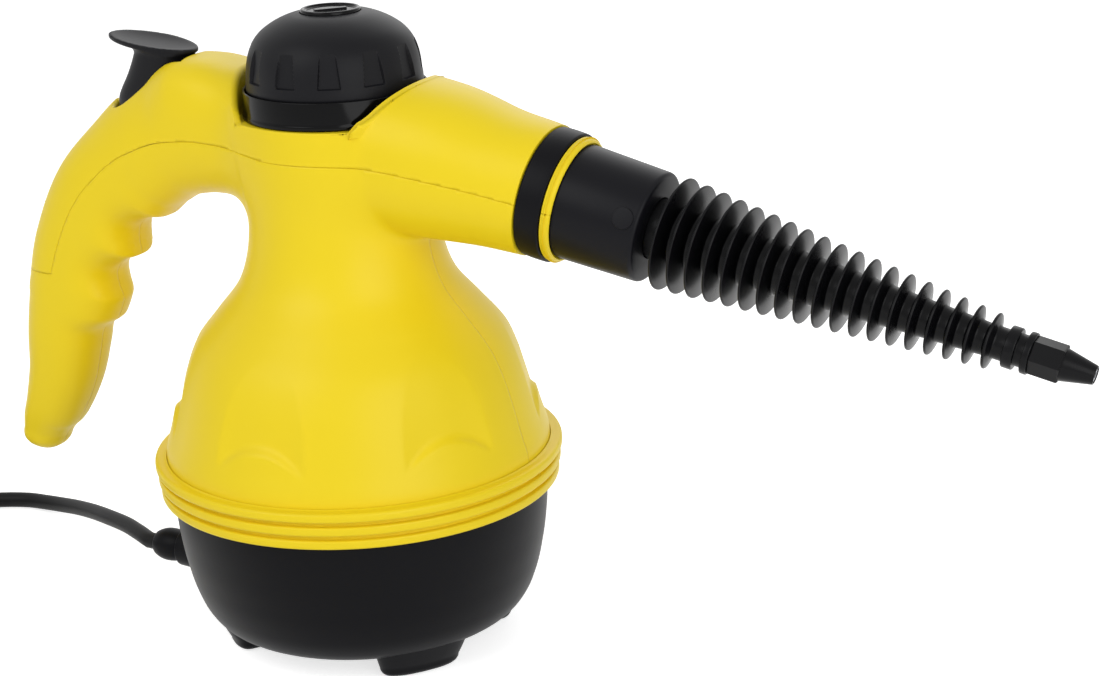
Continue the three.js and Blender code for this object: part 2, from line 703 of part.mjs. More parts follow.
const wedgeCorner = (side) => {
  const angle = side * footHalfAngle * degrees;
  return new THREE.Vector2(bandRadius * Math.cos(angle), bandRadius * Math.sin(angle));
};
const footWedge = solid(
  new THREE.ExtrudeGeometry(new THREE.Shape([new THREE.Vector2(), wedgeCorner(-1), wedgeCorner(1)]), {
    depth: footTop,
    bevelEnabled: false,
  }),
);
const foot = footRing.intersect(footWedge);
const feet = [footTurn, 180 - footTurn, 180 + footTurn, 360 - footTurn].map((angle) =>
  moved(foot, new THREE.Matrix4().makeRotationZ(angle * degrees)),
);
const glandHeight = 17.5;
const glandReach = 8.5; // past the largest ring
const glandRootInset = 15;
const glandBossEnd = bandRadius + glandReach;
const glandBossRoot = bandRadius - glandRootInset;
const glandBossSmall = 7;
const glandBossLarge = 9;
const glandNeck = 4;
const backwards = new THREE.Matrix4().makeRotationY(-Math.PI / 2).setPosition(0, 0, glandHeight);
const toRear = (made) => moved(made, backwards);
const glandBoss = toRear(
  turned(
    [[0, glandBossRoot], [glandBossLarge, glandBossRoot], [glandBossSmall, glandBossEnd],
      [0, glandBossEnd]],
    smallSides,
  ),
);
const glandBore = toRear(disc(glandNeck + clearance, glandBossRoot - wall, glandBossEnd + overrun));
const posts = screwAngles.map((angle) =>
  placedRound(disc(postRadius, bowlFloor + wall, postTop), baseScrewRadius, angle)
    .add(placedRound(disc(baseHead + wall, bowlFloor, baseScrewSeat + wall), baseScrewRadius, angle)
      .intersect(bowlOuter)),
);
const postHoles = screwAngles.map((angle) =>
  placedRound(
    joined(
      disc(baseShank + clearance, 0, postTop + overrun),
      disc(baseHead + clearance, -overrun, baseScrewSeat),
    ),
    baseScrewRadius,
    angle,
  ),
);
const hollowBowl = without(joined(bowlOuter, ...feet, glandBoss), bowlInner);
piece(
  "base_shell",
  mainBody(without(joined(hollowBowl, rim, ...posts), glandBore, ...postHoles)),
  blackPlastic,
);
screwAngles.forEach((angle, i) => {
  const seat = baseScrewSeat - clearance;
  const made = joined(disc(baseShank, seat - overrun, baseScrewTop), disc(baseHead, seat - headLength, seat));
  piece(`base_screw_${i + 1}`, placedRound(made, baseScrewRadius, angle), steel);
});

// Cord gland: pressed into the boss, with a bulb outside
const bulbLength = 12;
const glandEnd = glandBossEnd + bulbLength;
const bulbRadius = 6.2;
const glandInner = glandBossRoot - wall;
const cordDiameter = 6.2;
const bulbFoot = glandBossEnd + clearance;
const bulbShares = [[0, 0.84], [0.25, 0.98], [0.5, 1], [0.75, 0.88], [1, 0.6]];
const gland = turned(
  [
    [0, glandInner], [glandNeck, glandInner], [glandNeck, bulbFoot],
    ...bulbShares.map(([s, r]) => [r * bulbRadius, bulbFoot + s * (glandEnd - bulbFoot)]),
    [0, glandEnd],
  ],
  smallSides,
);
piece("cord_gland", toRear(gland), blackRubber);

// Neck ring: closed round the spout before the halves meet
const neckRingRadius = 22;
piece(
  "neck_ring",
  onAxis(ring(spoutRadius + clearance, neckRingRadius, 0, ringLength, roundSides)),
  glossBlack,
  nozzleFrame,
);

// Boiler: two cast halves bolted flange to flange over a gasket, hanging on the band's shelf
const boilerInset = 28; // from the largest ring
const boilerRadius = bandRadius - boilerInset;
const boilerWall = 3;
const boilerFloor = 26;
const flangeReach = 11;
const flangeRadius = boilerRadius + flangeReach;
const flangeThick = 3;
const gasketThick = 1.4;
const lowerFlange = shelfTop + clearance;
const gasketLow = lowerFlange + flangeThick + clearance;
const upperFlange = gasketLow + gasketThick + clearance;
const domeFoot = 93;
const domeTop = 111;
const neckBossRadius = 17;
const neckBossTop = 118;
const fillerRadius = 13.6;
const fillerBore = 10.4;
const fillerFoot = 108.3;
const boilerBoltRadius = (boilerRadius + flangeRadius) / 2;
const boltCount = 4;
const boltTurn = 45; // degrees
const boltShank = 2;
const boltHead = 3.4;
const boltHeadHeight = 3;
const boltAngles = around(boltCount, boltTurn);
const boilerBore = boilerRadius - boilerWall;
const boltHoles = (low, high) =>
  boltAngles.map((angle) =>
    placedRound(disc(boltShank + clearance, low, high), boilerBoltRadius, angle),
  );
const boilerCorner = 6;
const lowerBoiler = turned([
  [0, boilerFloor], [boilerRadius - boilerCorner, boilerFloor],
  [boilerRadius, boilerFloor + boilerCorner], [boilerRadius, lowerFlange],
  [flangeRadius, lowerFlange], [flangeRadius, lowerFlange + flangeThick],
  [boilerBore, lowerFlange + flangeThick], [boilerBore, boilerFloor + boilerCorner],
  [boilerBore - boilerCorner, boilerFloor + boilerWall], [0, boilerFloor + boilerWall],
], middleSides);
piece(
  "boiler_lower",
  without(lowerBoiler, ...boltHoles(lowerFlange - overrun, gasketLow)),
  castAluminium,
);
piece(
  "boiler_gasket",
  without(
    ring(boilerBore + clearance, flangeRadius - clearance, gasketLow, gasketLow + gasketThick, middleSides),
    ...boltHoles(gasketLow - overrun, upperFlange),
  ),
  siliconeRed,
);
const riserX = -24;
const riserRadius = 3;
const riserBore = 1.8;
const riserBossRadius = 5;
const riserBossTop = 114;
const shoulderInset = 6;
const domeShoulder = boilerRadius - shoulderInset;
const domeRise = 103;
const seatThick = 3;
const upperBoiler = turned([
  [boilerBore, upperFlange], [flangeRadius, upperFlange],
  [flangeRadius, upperFlange + flangeThick], [boilerRadius, upperFlange + flangeThick],
  [boilerRadius, domeFoot], [domeShoulder, domeRise], [neckBossRadius, domeTop],
  [neckBossRadius, neckBossTop], [fillerRadius + clearance, neckBossTop],
  [fillerRadius + clearance, fillerFoot - clearance], [fillerBore, fillerFoot - clearance],
  [fillerBore, fillerFoot - seatThick], [domeShoulder - boilerWall, domeRise - boilerWall],
  [boilerBore, domeFoot - boilerWall],
], middleSides);
const riserBoss = moved(disc(riserBossRadius, domeRise, riserBossTop), at(riserX, 0, 0));
const riserWay = moved(disc(riserBore, domeFoot, riserBossTop + overrun), at(riserX, 0, 0));
piece(
  "boiler_upper",
  without(
    joined(upperBoiler, riserBoss),
    riserWay,
    ...boltHoles(upperFlange - overrun, upperFlange + flangeThick + overrun),
  ),
  castAluminium,
);
const boltSeat = upperFlange + flangeThick + clearance;
boltAngles.forEach((angle, i) => {
  const made = joined(
    disc(boltShank, lowerFlange + clearance, boltSeat + overrun, 8),
    disc(boltHead, boltSeat, boltSeat + boltHeadHeight, 6),
  );
  piece(`boiler_bolt_${i + 1}`, placedRound(made, boilerBoltRadius, angle), steel);
});

// Heater, thermostat and fuse under the boiler, terminal block on the base floor
const heaterInset = 10;
const heaterRadius = boilerRadius - heaterInset;
const heaterTube = 3.3;
const heaterAngle = 300; // degrees
const heaterSteps = 15;
const heaterHeight = boilerFloor - clearance - heaterTube;
const heaterPath = [];
for (let i = 0; i <= heaterSteps; i++) {
  const angle = heaterAngle * (i / heaterSteps - 0.5) * degrees;
  heaterPath.push(
    new THREE.Vector3(heaterRadius * Math.cos(angle), heaterRadius * Math.sin(angle), heaterHeight),
  );
}
piece("heating_element", wound(heaterPath, heaterTube, 6), steel);
const thermostatRadius = 9;
const thermostatDepth = 8;
piece(
  "thermostat",
  disc(thermostatRadius, boilerFloor - clearance - thermostatDepth, boilerFloor - clearance),
  ceramicWhite,
);
const fuseRadius = 2.1;
const fuseHalf = 6;
const fuseShare = 0.4; // of the gap between thermostat and heater
const fuseX = thermostatRadius + fuseShare * (heaterRadius - heaterTube - thermostatRadius);
piece(
  "thermal_fuse",
  moved(
    moved(disc(fuseRadius, -fuseHalf, fuseHalf, 8), alongY),
    at(fuseX, 0, boilerFloor - clearance - fuseRadius),
  ),
  ceramicWhite,
);
const terminalInset = 37;
const terminalX = terminalInset - bandRadius;
const terminalHalf = 12;
const terminalWide = 8;
const terminalHeight = 9;
const baseInside = bowlFloor + wall + clearance;
piece(
  "terminal_block",
  block(
    terminalX - terminalHalf, -terminalWide, baseInside,
    terminalX + terminalHalf, terminalWide, baseInside + terminalHeight,
  ),
  darkPlastic,
);

// Filler: brass neck screwed into the boiler, with the black collar round it on the recess floor
const fillerRise = 5; // over the recess floor
const fillerTop = recessFloor + fillerRise;
const fillerNut = 16.5;
const fillerNutHeight = 3.5;
const nutLow = neckBossTop + clearance;
piece(
  "filler_neck",
  turned([
    [fillerBore, fillerFoot], [fillerRadius, fillerFoot], [fillerRadius, nutLow],
    [fillerNut, nutLow], [fillerNut, nutLow + fillerNutHeight],
    [fillerRadius, nutLow + fillerNutHeight], [fillerRadius, fillerTop], [fillerBore, fillerTop],
  ], middleSides),
  brass,
);
const collarRadius = 32;
const collarThick = 1.5;
const collarWall = 31.5;
const collarTopRadius = 31.4;
const collarInside = 30.6; // the knob's skirt goes down in it
const collarHeight = 9.4;
const collarTop = recessFloor + collarHeight;
const collarLow = recessFloor + clearance;
piece(
  "filler_collar",
  turned([
    [collarHole, collarLow], [collarRadius, collarLow], [collarRadius, collarLow + collarThick],
    [collarWall, collarLow + collarThick + clearance], [collarTopRadius, collarTop],
    [collarInside, collarTop], [collarInside, collarLow + collarThick],
    [collarHole, collarLow + collarThick],
  ]),
  glossBlack,
);

// Safety cap: seal, threaded plug with its relief valve, and a knob that is pressed against a spring
const sealThick = 1.7;
const sealLow = fillerTop + clearance;
const plugFlange = sealLow + sealThick + clearance;
const plugRadius = fillerBore - runClearance;
const plugThread = 16;
const plugFoot = fillerTop - plugThread;
const plugFlangeRadius = 16;
const plugFlangeThick = 2.7;
const plugHub = 8.5;
const knobOverlap = 0.3; // of the knob's skirt into the collar
const knobRise = 24.2;
const knobFoot = collarTop - knobOverlap;
const knobTop = knobFoot + knobRise;
const knobHeadroom = 8.3; // over the plug
const plugTop = knobTop - knobHeadroom;
const plugBore = 3.3;
const reliefFloor = 3;
const reliefSeat = plugFoot + reliefFloor;
const reliefPort = 2;
piece("cap_seal", ring(plugRadius + clearance, fillerRadius, sealLow, sealLow + sealThick, middleSides),
  siliconeRed, capFrame);
piece(
  "cap_plug",
  turned([
    [reliefPort, plugFoot], [plugRadius, plugFoot], [plugRadius, plugFlange],
    [plugFlangeRadius, plugFlange], [plugFlangeRadius, plugFlange + plugFlangeThick],
    [plugHub, plugFlange + plugFlangeThick], [plugHub, plugTop], [plugBore, plugTop],
    [plugBore, reliefSeat], [reliefPort, reliefSeat],
  ], middleSides),
  darkPlastic,
  capFrame,
);
const reliefHead = 8;
const reliefStem = 1.5;
piece(
  "relief_valve",
  joined(
    disc(plugBore - clearance, reliefSeat + clearance, reliefSeat + clearance + reliefHead),
    disc(reliefStem, plugFoot + overrun, reliefSeat + overrun),
  ),
  brass,
  capFrame,
);
const knobRadius = 30.2;
const knobWall = 2.2;
const discRadius = 10.9;
const discHeight = 2.3;
const knobShares = [
  [1, 0], [0.995, 0.34], [0.975, 0.52], [0.925, 0.68], [0.84, 0.82], [0.71, 0.92], [0.53, 0.98],
  [0.4, 1],
];
const knobPoint = ([r, h]) => [r * knobRadius, knobFoot + h * knobRise];
const knobInner = knobShares
  .filter((_, i) => i % 2 === 0)
  .map(([r, h]) => [r * (knobRadius - knobWall), knobFoot + h * (knobRise - knobWall)])
  .reverse();
const panelCount = 12;
const panelWide = 7.4;
const panelDepth = 1;
const skirtBand = 4.3; // plain band under the panels
const panelFall = 6.3; // below the top
const panelLow = knobFoot + skirtBand;
const panelTop = knobTop - panelFall;
const panelLean = 6; // degrees, so that a panel fades out upwards
const knobHubRise = 5.1;
const knobHubLow = knobFoot + knobHubRise;
const knobHubWall = 2.4;
const knobBody = joined(
  turned([...knobShares.map(knobPoint), [0, knobTop], [0, knobTop - knobWall], ...knobInner]),
  ring(plugHub + runClearance, plugHub + runClearance + knobHubWall, knobHubLow,
    knobTop - knobWall / 2, middleSides),
);
const panels = around(panelCount, 0).map((angle) => {
  const cutter = block(
    -panelDepth, -panelWide / 2, 0, 2 * knobWall, panelWide / 2, panelTop - panelLow,
  );
  const lean = new THREE.Matrix4().makeRotationY(panelLean * degrees);
  const turn = new THREE.Matrix4().makeRotationZ(angle);
  const set = turn.multiply(at(knobRadius, 0, panelLow)).multiply(lean);
  return moved(cutter, set);
});
const discSeat = knobTop - knobWall / 2;
piece(
  "cap_knob",
  without(knobBody, ...panels, disc(discRadius + clearance, discSeat, knobTop + overrun, middleSides)),
  blackPlastic,
  capFrame,
);
const dish = 0.8;
const discTop = discSeat + clearance + discHeight + knobWall / 2;
piece(
  "cap_disc",
  turned([
    [0, discSeat + clearance], [discRadius, discSeat + clearance], [discRadius, discTop - dish],
    [discRadius - dish, discTop], [discRadius - 2 * dish, discTop],
    [discRadius - 3 * dish, discTop - dish], [0, discTop - dish],
  ], middleSides),
  glossBlack,
  capFrame,
);
const capSpringWire = 0.8;
const capSpringBore = plugHub + runClearance + knobHubWall + clearance;
const capSpringRadius = (capSpringBore + capSpringWire) / Math.cos(Math.PI / springSteps);
const capSpringTurns = 4;
const capSpringLow = plugFlange + plugFlangeThick + clearance;
const capSpringHigh = knobFoot + 0.98 * (knobRise - knobWall) - 2 * clearance;
piece(
  "cap_spring",
  spring(capSpringRadius, capSpringWire, capSpringLow, capSpringHigh, capSpringTurns),
  steel,
  capFrame,
);

// Steam valve between boiler and nozzle
const valveZ = 166;
const valveRear = -34;
const valveFront = -15.5;
const valveRadius = 6;
const stemRadius = 2.2;
const stemRear = -50;
const stemFront = -26;
const stemCollar = 4;
const stemCollarAt = -46.5;
const stemCollarThick = 1.5;
const stemStroke = 1.6;
const stemCollarFront = stemCollarAt + stemCollarThick;
const boreEnd = -22;
const valveAxis = at(0, 0, valveZ);
const onValve = (made) => moved(onAxis(made), valveAxis);
const outletSide = 1;
const pipeRadius = 2.5;
const outletX = -25;
const outletBore = acrossAt(
  disc(pipeRadius / 2, 0, outletSide * (valveRadius + overrun)), outletX, valveZ,
);
piece(
  "valve_body",
  without(
    onValve(disc(valveRadius, valveRear, valveFront)),
    onValve(disc(stemRadius + runClearance, valveRear - overrun, boreEnd)),
    outletBore,
    moved(disc(riserBore, valveZ - valveRadius - overrun, valveZ), at(riserX, 0, 0)),
  ),
  brass,
);
piece(
  "valve_stem",
  onValve(
    joined(
      disc(stemRadius, stemRear, stemFront),
      disc(stemCollar, stemCollarAt, stemCollarFront),
    ),
  ),
  steel,
);
const valveSpringWire = 0.5;
const valveSpringRadius = stemRadius + runClearance + valveSpringWire + clearance;
const valveSpringTurns = 4;
piece(
  "valve_spring",
  onValve(
    spring(valveSpringRadius, valveSpringWire, stemCollarFront + stemStroke + clearance,
      valveRear - clearance, valveSpringTurns),
  ),
  steel,
);
const riserFoot = riserBossTop + clearance;
const riserHead = valveZ - valveRadius - clearance;
piece("steam_riser", moved(ring(riserBore, riserRadius, riserFoot, riserHead), at(riserX, 0, 0)), brass);

// Steam pipe: leaves the valve sideways, passes the filler neck and ends at the spigot
const spigotRoot = 14;
const [pipeEndX, pipeEndZ] = onNozzle(-spigotRoot - clearance);
const pipeStartY = valveRadius + clearance;
const pipeSwing = 20.5;
const pipeShares = [
  [0, 0, 0], [0.01, 0.25, 0], [0.06, 0.66, 0.03], [0.17, 0.97, 0.12], [0.33, 1, 0.28],
  [0.51, 0.8, 0.5], [0.71, 0.3, 0.75], [0.87, 0.02, 0.92], [0.965, -0.35, 1.0],
];
const pipePoints = pipeShares.map(([x, y, z]) => [
  outletX + x * (pipeEndX - outletX),
  pipeStartY + y * (pipeSwing - pipeStartY),
  valveZ + z * (pipeEndZ - valveZ),
]);
const steamPipe = pipe([...pipePoints, [pipeEndX, 0, pipeEndZ]], pipeRadius, 15);
const pipeTrim = inNeck(disc(3 * pipeRadius, -spigotRoot - clearance, 0));
const valveRoom = onValve(disc(valveRadius + clearance, valveRear, valveFront));
piece("steam_pipe", mainBody(without(steamPipe, pipeTrim, valveRoom)), brass);

// Spigot in the neck end, with two lugs and a seal, then the nozzle that twists on it
const spigotFlange = 17.9;
const flangeLow = shoulderLength - spoutRoot + clearance;
const spigotFlangeThick = 2.5;
const spigotRadius = 8.8;
const spigotBore = 2.4;
const spigotEnd = 27;
const sealGroove = 1.2;
const spigotSealAt = 22;
const spigotSealLong = 2;
const lugAt = 15;
const lugLong = 3;
const lugReach = 10.9;
const lugHalf = 3;
const lugs = [-1, 1].map((side) => {
  const [near, far] = [spigotRadius - sealGroove, lugReach];
  const [low, high] = side < 0 ? [-far, -near] : [near, far];
  return block(lugAt, low, -lugHalf, lugAt + lugLong, high, lugHalf);
});
const grooveRing = ring(
  spigotRadius - sealGroove, spigotRadius + overrun,
  spigotSealAt - clearance, spigotSealAt + spigotSealLong + clearance, middleSides,
);
piece(
  "nozzle_spigot",
  joined(
    onAxis(
      without(
        joined(
          ring(spigotBore, spigotRadius, -spigotRoot, spigotEnd, middleSides),
          ring(spigotBore + overrun, spigotFlange, flangeLow, flangeLow + spigotFlangeThick, middleSides),
        ),
        grooveRing,
      ),
    ),
    ...lugs,
  ),
  darkPlastic,
  nozzleFrame,
);
const hubBore = 10.2;
const sealOuter = hubBore * Math.cos(Math.PI / finSides) - clearance;
piece(
  "nozzle_seal",
  onAxis(
    ring(spigotRadius - sealGroove + clearance, sealOuter, spigotSealAt,
      spigotSealAt + spigotSealLong, middleSides),
  ),
  siliconeRed,
  nozzleFrame,
);

// Nozzle: cup, finned barrel and tip insert
const cupStart = 11.2;
const cupEnd = 41;
const cupRadius = 19.4;
const cupFrontRadius = 18.5;
const cupWall = 1.8;
const cupEdge = 1;
const cupFrontThick = 2.5;
const coreRadius = 10;
piece(
  "nozzle_cup",
  onAxis(
    turned([
      [cupRadius - cupWall, cupStart], [cupRadius, cupStart], [cupFrontRadius, cupEnd - cupEdge],
      [cupFrontRadius - cupEdge, cupEnd], [coreRadius + clearance, cupEnd],
      [coreRadius + clearance, cupEnd - cupFrontThick],
      [cupFrontRadius - cupWall, cupEnd - cupFrontThick],
    ]),
  ),
  blackPlastic,
  nozzleFrame,
);
const hubStart = 11.5;
const hubRadius = 13.6;
const hubEnd = cupEnd - cupFrontThick - clearance;
const hubFloor = spigotEnd + overrun;
const finCount = 19;
const finStart = 47.5;
const finRadius = 18.8;
const lastFinRadius = 9;
const finRim = 0.7; // half the thickness at the rim
const finRoot = 1.3; // half the thickness at the core
const coneLong = 10;
const hexLong = 10;
const collarLong = [3.5, 2.2];
const collarGap = 2.5;
const finToCollar = 4.9; // middle of the last fin to the first collar
const hexEnd = nozzleLength - coneLong;
const hexStart = hexEnd - hexLong;
const secondCollar = hexStart - collarLong[1];
const collarAt = [secondCollar - collarGap - collarLong[0], secondCollar];
const finEnd = collarAt[0] - finToCollar;
const finPitch = (finEnd - finStart) / (finCount - 1);
const coreEndRadius = 5.2;
const bore = 1.5;
const shrink = (s, from, to) => from + ((to - from) * (s - finStart)) / (finEnd - finStart);
const barrelProfile = [
  [hubBore, hubStart], [hubRadius, hubStart], [hubRadius, hubEnd], [coreRadius, hubEnd],
  [coreRadius, cupEnd + clearance],
];
for (let i = 0; i < finCount; i++) {
  const s = finStart + i * finPitch;
  const [rim, core] = [shrink(s, finRadius, lastFinRadius), shrink(s, coreRadius, coreEndRadius)];
  barrelProfile.push([core, s - finRoot], [rim, s - finRim], [rim, s + finRim], [core, s + finRoot]);
}
const tipCollar = 6.7;
collarAt.forEach((s, i) => {
  const end = s + collarLong[i];
  barrelProfile.push([coreEndRadius, s], [tipCollar, s], [tipCollar, end], [coreEndRadius, end]);
});
const hexRadius = 5.6;
const tipRadius = 3;
barrelProfile.push([coreEndRadius, hexEnd], [bore, hexEnd], [bore, hubFloor], [hubBore, hubFloor]);
const lugRoom = Math.hypot(lugReach, lugHalf) / Math.cos(Math.PI / middleSides) + runClearance;
const slotTurn = 60;
const lugSlot = block(
  hubStart - overrun, -lugRoom, -lugHalf - runClearance, lugAt, lugRoom, lugHalf + runClearance,
);
const lugTurn = new THREE.Matrix4().makeRotationX(slotTurn * degrees);
const lugGroove = ring(hubBore - overrun, lugRoom, lugAt - runClearance, lugAt + lugLong + runClearance, middleSides);
const insertRadius = 2.1;
const insertBore = 1;
const insertLong = 6;
const insertRoom = insertRadius + clearance;
const hexPart = disc(hexRadius, hexStart - overrun, hexEnd, 6);
const cone = turned([[0, hexEnd - overrun], [coreEndRadius, hexEnd - overrun], [coreEndRadius, hexEnd],
  [tipRadius, nozzleLength], [0, nozzleLength]], smallSides);
const barrelBore = joined(
  disc(bore, hubFloor - overrun, nozzleLength + overrun),
  disc(insertRoom, nozzleLength - insertLong, nozzleLength + overrun),
);
piece(
  "nozzle_barrel",
  without(
    onAxis(without(joined(turned(barrelProfile, finSides), hexPart, cone), barrelBore, lugGroove)),
    moved(lugSlot, lugTurn),
  ),
  blackPlastic,
  nozzleFrame,
);
piece(
  "nozzle_insert",
  onAxis(
    ring(insertBore, insertRadius, nozzleLength - insertLong + clearance, nozzleLength - clearance, 12),
  ),
  steel,
  nozzleFrame,
);

// Thumb lever: a dished oval pad on a thick blade that goes down through the slot to its pivot
const padX = -74;
const padTop = 210.4;
const padThick = 2.6;
const padHalfLong = 17.6;
const padHalfWide = 10.5;
const padTilt = 4.5; // degrees, lower towards the hump
const padDish = 1.4;
const bladeHalf = 9.2;
const padDisc = turned(
  [[0, -padThick], [0.86, -padThick], [1, -padThick / 3], [1, 0], [0.93, 0], [0.6, -padDish],
    [0, -padDish - clearance]],
  middleSides,
);
const padPlace = at(padX, 0, padTop)
  .multiply(new THREE.Matrix4().makeRotationY(padTilt * degrees))
  .multiply(new THREE.Matrix4().makeScale(padHalfLong, padHalfWide, 1));
const pad = moved(padDisc, padPlace);
const padUnder = padTop - padThick + clearance;
// Outlines as shares of the way from the pivot to the middle of the pad
const onLever = ([x, z]) => [pivotX + x * (padX - pivotX), pivotZ + z * (padTop - pivotZ)];
const bladeRearShare = 1.34;
const bladeFrontShare = 0.395;
const bladeShares = [
  [1.428, 0.739], [1.535, 0.602], [1.702, 0.352], [1.647, 0.229], [0.465, 0.086], [0.381, 0.415],
];
const webShares = [[0.651, 0.702], [0.93, 0.143], [0.209, -0.034], [-0.163, 0.057], [0.26, 0.702]];
const blade = plate(
  [
    [onLever([bladeRearShare, 1])[0], padUnder], ...bladeShares.map(onLever),
    [onLever([bladeFrontShare, 1])[0], padUnder],
  ],
  bladeHalf,
);
const web = plate(webShares.map(onLever), hubHalf);
const toeFront = stemRear - clearance;
const toeThick = 5;
const toeDrop = 3.5; // below the valve's axis
const toeFoot = valveZ - toeDrop;
const toe = block(toeFront - toeThick, -hubHalf, toeFoot, toeFront, hubHalf, pivotZ);
const hub = acrossAt(disc(bossRadius, -hubHalf, hubHalf), pivotX, pivotZ);
const pinWay = acrossAt(disc(pinRadius + clearance, -bandRadius, bandRadius), pivotX, pivotZ);
piece("thumb_lever", without(joined(pad, blade, web, toe, hub), pinWay), blackPlastic);
piece("lever_pin", acrossAt(disc(pinRadius, -pinHalf, pinHalf), pivotX, pivotZ), steel);

// Cord: from the gland to the floor, wound into a coil beside the cleaner, and on to its plug
const cordRadius = cordDiameter / 2;
const exitX = -glandEnd - clearance;
const coilX = -220;
const coilY = -26;
const coilPitch = 1.2 * cordDiameter;
const coilMean = 6 * cordDiameter;
const coilLayers = 2;
const coilTurns = 3.289; // in each layer
const coilStart = 122; // degrees
const stepsPerTurn = 24;
const coilOuter = coilMean + (coilTurns * coilPitch) / 2;
const straight = cordDiameter;

const coilPath = [];
let turnsDone = 0;
const coilPoint = (turns, radius, height) => {
  const angle = coilStart * degrees + 2 * Math.PI * turns;
  return new THREE.Vector3(
    coilX + radius * Math.cos(angle), coilY + radius * Math.sin(angle), cordRadius + height,
  );
};
for (let layer = 0; layer < coilLayers; layer++) {
  const inwards = layer % 2 === 0;
  const steps = Math.round(coilTurns * stepsPerTurn);
  for (let i = 0; i < steps; i++) {
    const share = i / steps;
    const radius = coilOuter - coilTurns * coilPitch * (inwards ? share : 1 - share);
    coilPath.push(coilPoint(turnsDone + share * coilTurns, radius, layer * coilPitch));
  }
  turnsDone += coilTurns;
  const radius = inwards ? coilOuter - coilTurns * coilPitch : coilOuter;
  if (layer === coilLayers - 1) coilPath.push(coilPoint(turnsDone, radius, layer * coilPitch));
  else {
    const climb = stepsPerTurn / 2;
    for (let i = 0; i < climb; i++)
      coilPath.push(coilPoint(turnsDone + i / stepsPerTurn, radius, (layer + i / climb) * coilPitch));
    turnsDone += 0.5;
  }
}
const heading = (turns) => {
  const angle = coilStart * degrees + 2 * Math.PI * turns;
  return new THREE.Vector3(-Math.sin(angle), Math.cos(angle), 0);
};
const coilIn = coilPath[0].clone().addScaledVector(heading(0), -straight);
const coilOut = coilPath.at(-1).clone().addScaledVector(heading(turnsDone), straight);
coilPath.unshift(coilIn);
coilPath.push(coilOut);

const leadEnd = coilIn.clone().addScaledVector(heading(0), -clearance);
const leadNearEnd = coilIn.clone().addScaledVector(heading(0), -2 * straight);
const leadMiddle = [
  [-104.4, 5, 17.3], [-116.5, 12.6, 16.2], [-131.2, 21.3, 13.8], [-146, 30.3, 10.8],
  [-160, 37.9, 7.8], [-172.8, 43.4, 5.2], [-184.2, 46.4, 3.7], [-193.3, 46.9, 3.15],
  [-203.9, 43.2, 3.1], [-217, 35.8, 3.1],
];
const leadPoints = [
  [exitX, 0, glandHeight], [exitX - cordRadius, 0, glandHeight], ...leadMiddle,
  leadNearEnd.toArray(), leadEnd.toArray(),
];
piece("cord_lead", pipe(leadPoints, cordRadius, 16), blackRubber);
piece("cord_coil", wound(coilPath, cordRadius, 6), blackRubber);

const plugRadiusOver = 17;
const plugAxisZ = plugRadiusOver + clearance;
const tailLong = 36;
const tailStart = coilOut.clone().addScaledVector(heading(turnsDone), clearance);
const away = heading(turnsDone);
const aside = new THREE.Vector3(-away.y, away.x, 0);
const plugStart = tailStart.clone().addScaledVector(away, tailLong).setZ(plugAxisZ);
const tailShares = [[0, 0], [0.12, 0], [0.35, 0.22], [0.65, 0.78], [0.88, 1], [1, 1]];
const tailPoints = tailShares.map(([along, rise]) => {
  const point = tailStart.clone().addScaledVector(away, along * tailLong);
  return point.setZ(tailStart.z + rise * (plugStart.z - tailStart.z)).toArray();
});
piece("cord_tail", pipe(tailPoints, cordRadius, 6), blackRubber);
const plugRelief = 22;
const plugShoulder = 27;
const plugFace = 50;
const plugSoft = 2;
const pinOut = 19;
const plugPinRadius = 2.4;
const pinApart = 19;
const toPlug = new THREE.Matrix4()
  .makeBasis(aside, up, away)
  .setPosition(plugStart.clone().addScaledVector(away, clearance));
const reliefTip = 4.4;
const reliefRoot = 7;
const pinSides = [-1, 1];
const pinSocket = 8;
piece(
  "plug_body",
  without(
    moved(
      turned([
        [0, 0], [reliefTip, 0], [reliefRoot, plugRelief], [plugRadiusOver - plugSoft, plugShoulder],
        [plugRadiusOver, plugShoulder + plugSoft], [plugRadiusOver, plugFace - plugSoft],
        [plugRadiusOver - plugSoft, plugFace], [0, plugFace],
      ], 20),
      toPlug,
    ),
    ...pinSides.map((side) => {
      const hole = disc(plugPinRadius + clearance, plugFace - pinSocket, plugFace + overrun);
      return moved(moved(hole, at(0, (side * pinApart) / 2, 0)), toPlug);
    }),
  ),
  blackRubber,
);
pinSides.forEach((side) => {
  const made = disc(plugPinRadius, plugFace - pinSocket + clearance, plugFace + pinOut);
  const placed = moved(moved(made, at(0, (side * pinApart) / 2, 0)), toPlug);
  piece(side < 0 ? "plug_pin_right" : "plug_pin_left", placed, steel);
});

// Facts of the cord: its length and the coil's least gap to itself
const lengthOf = (points) =>
  points.slice(1).reduce((sum, p, i) => sum + p.distanceTo(points[i]), 0);
const curveLength = (points) =>
  new THREE.CatmullRomCurve3(points.map((p) => new THREE.Vector3(...p))).getLength();
const cordLength = curveLength(leadPoints) + lengthOf(coilPath) + curveLength(tailPoints);
let leastGap = Infinity;
const apart = Math.round(stepsPerTurn / 3);
coilPath.forEach((p, i) => {
  for (let k = i + apart; k < coilPath.length; k++)
    leastGap = Math.min(leastGap, p.distanceTo(coilPath[k]) - cordDiameter);
});
console.log(`cord ${cordLength.toFixed(0)} mm, coil's least gap ${leastGap.toFixed(2)} mm`);

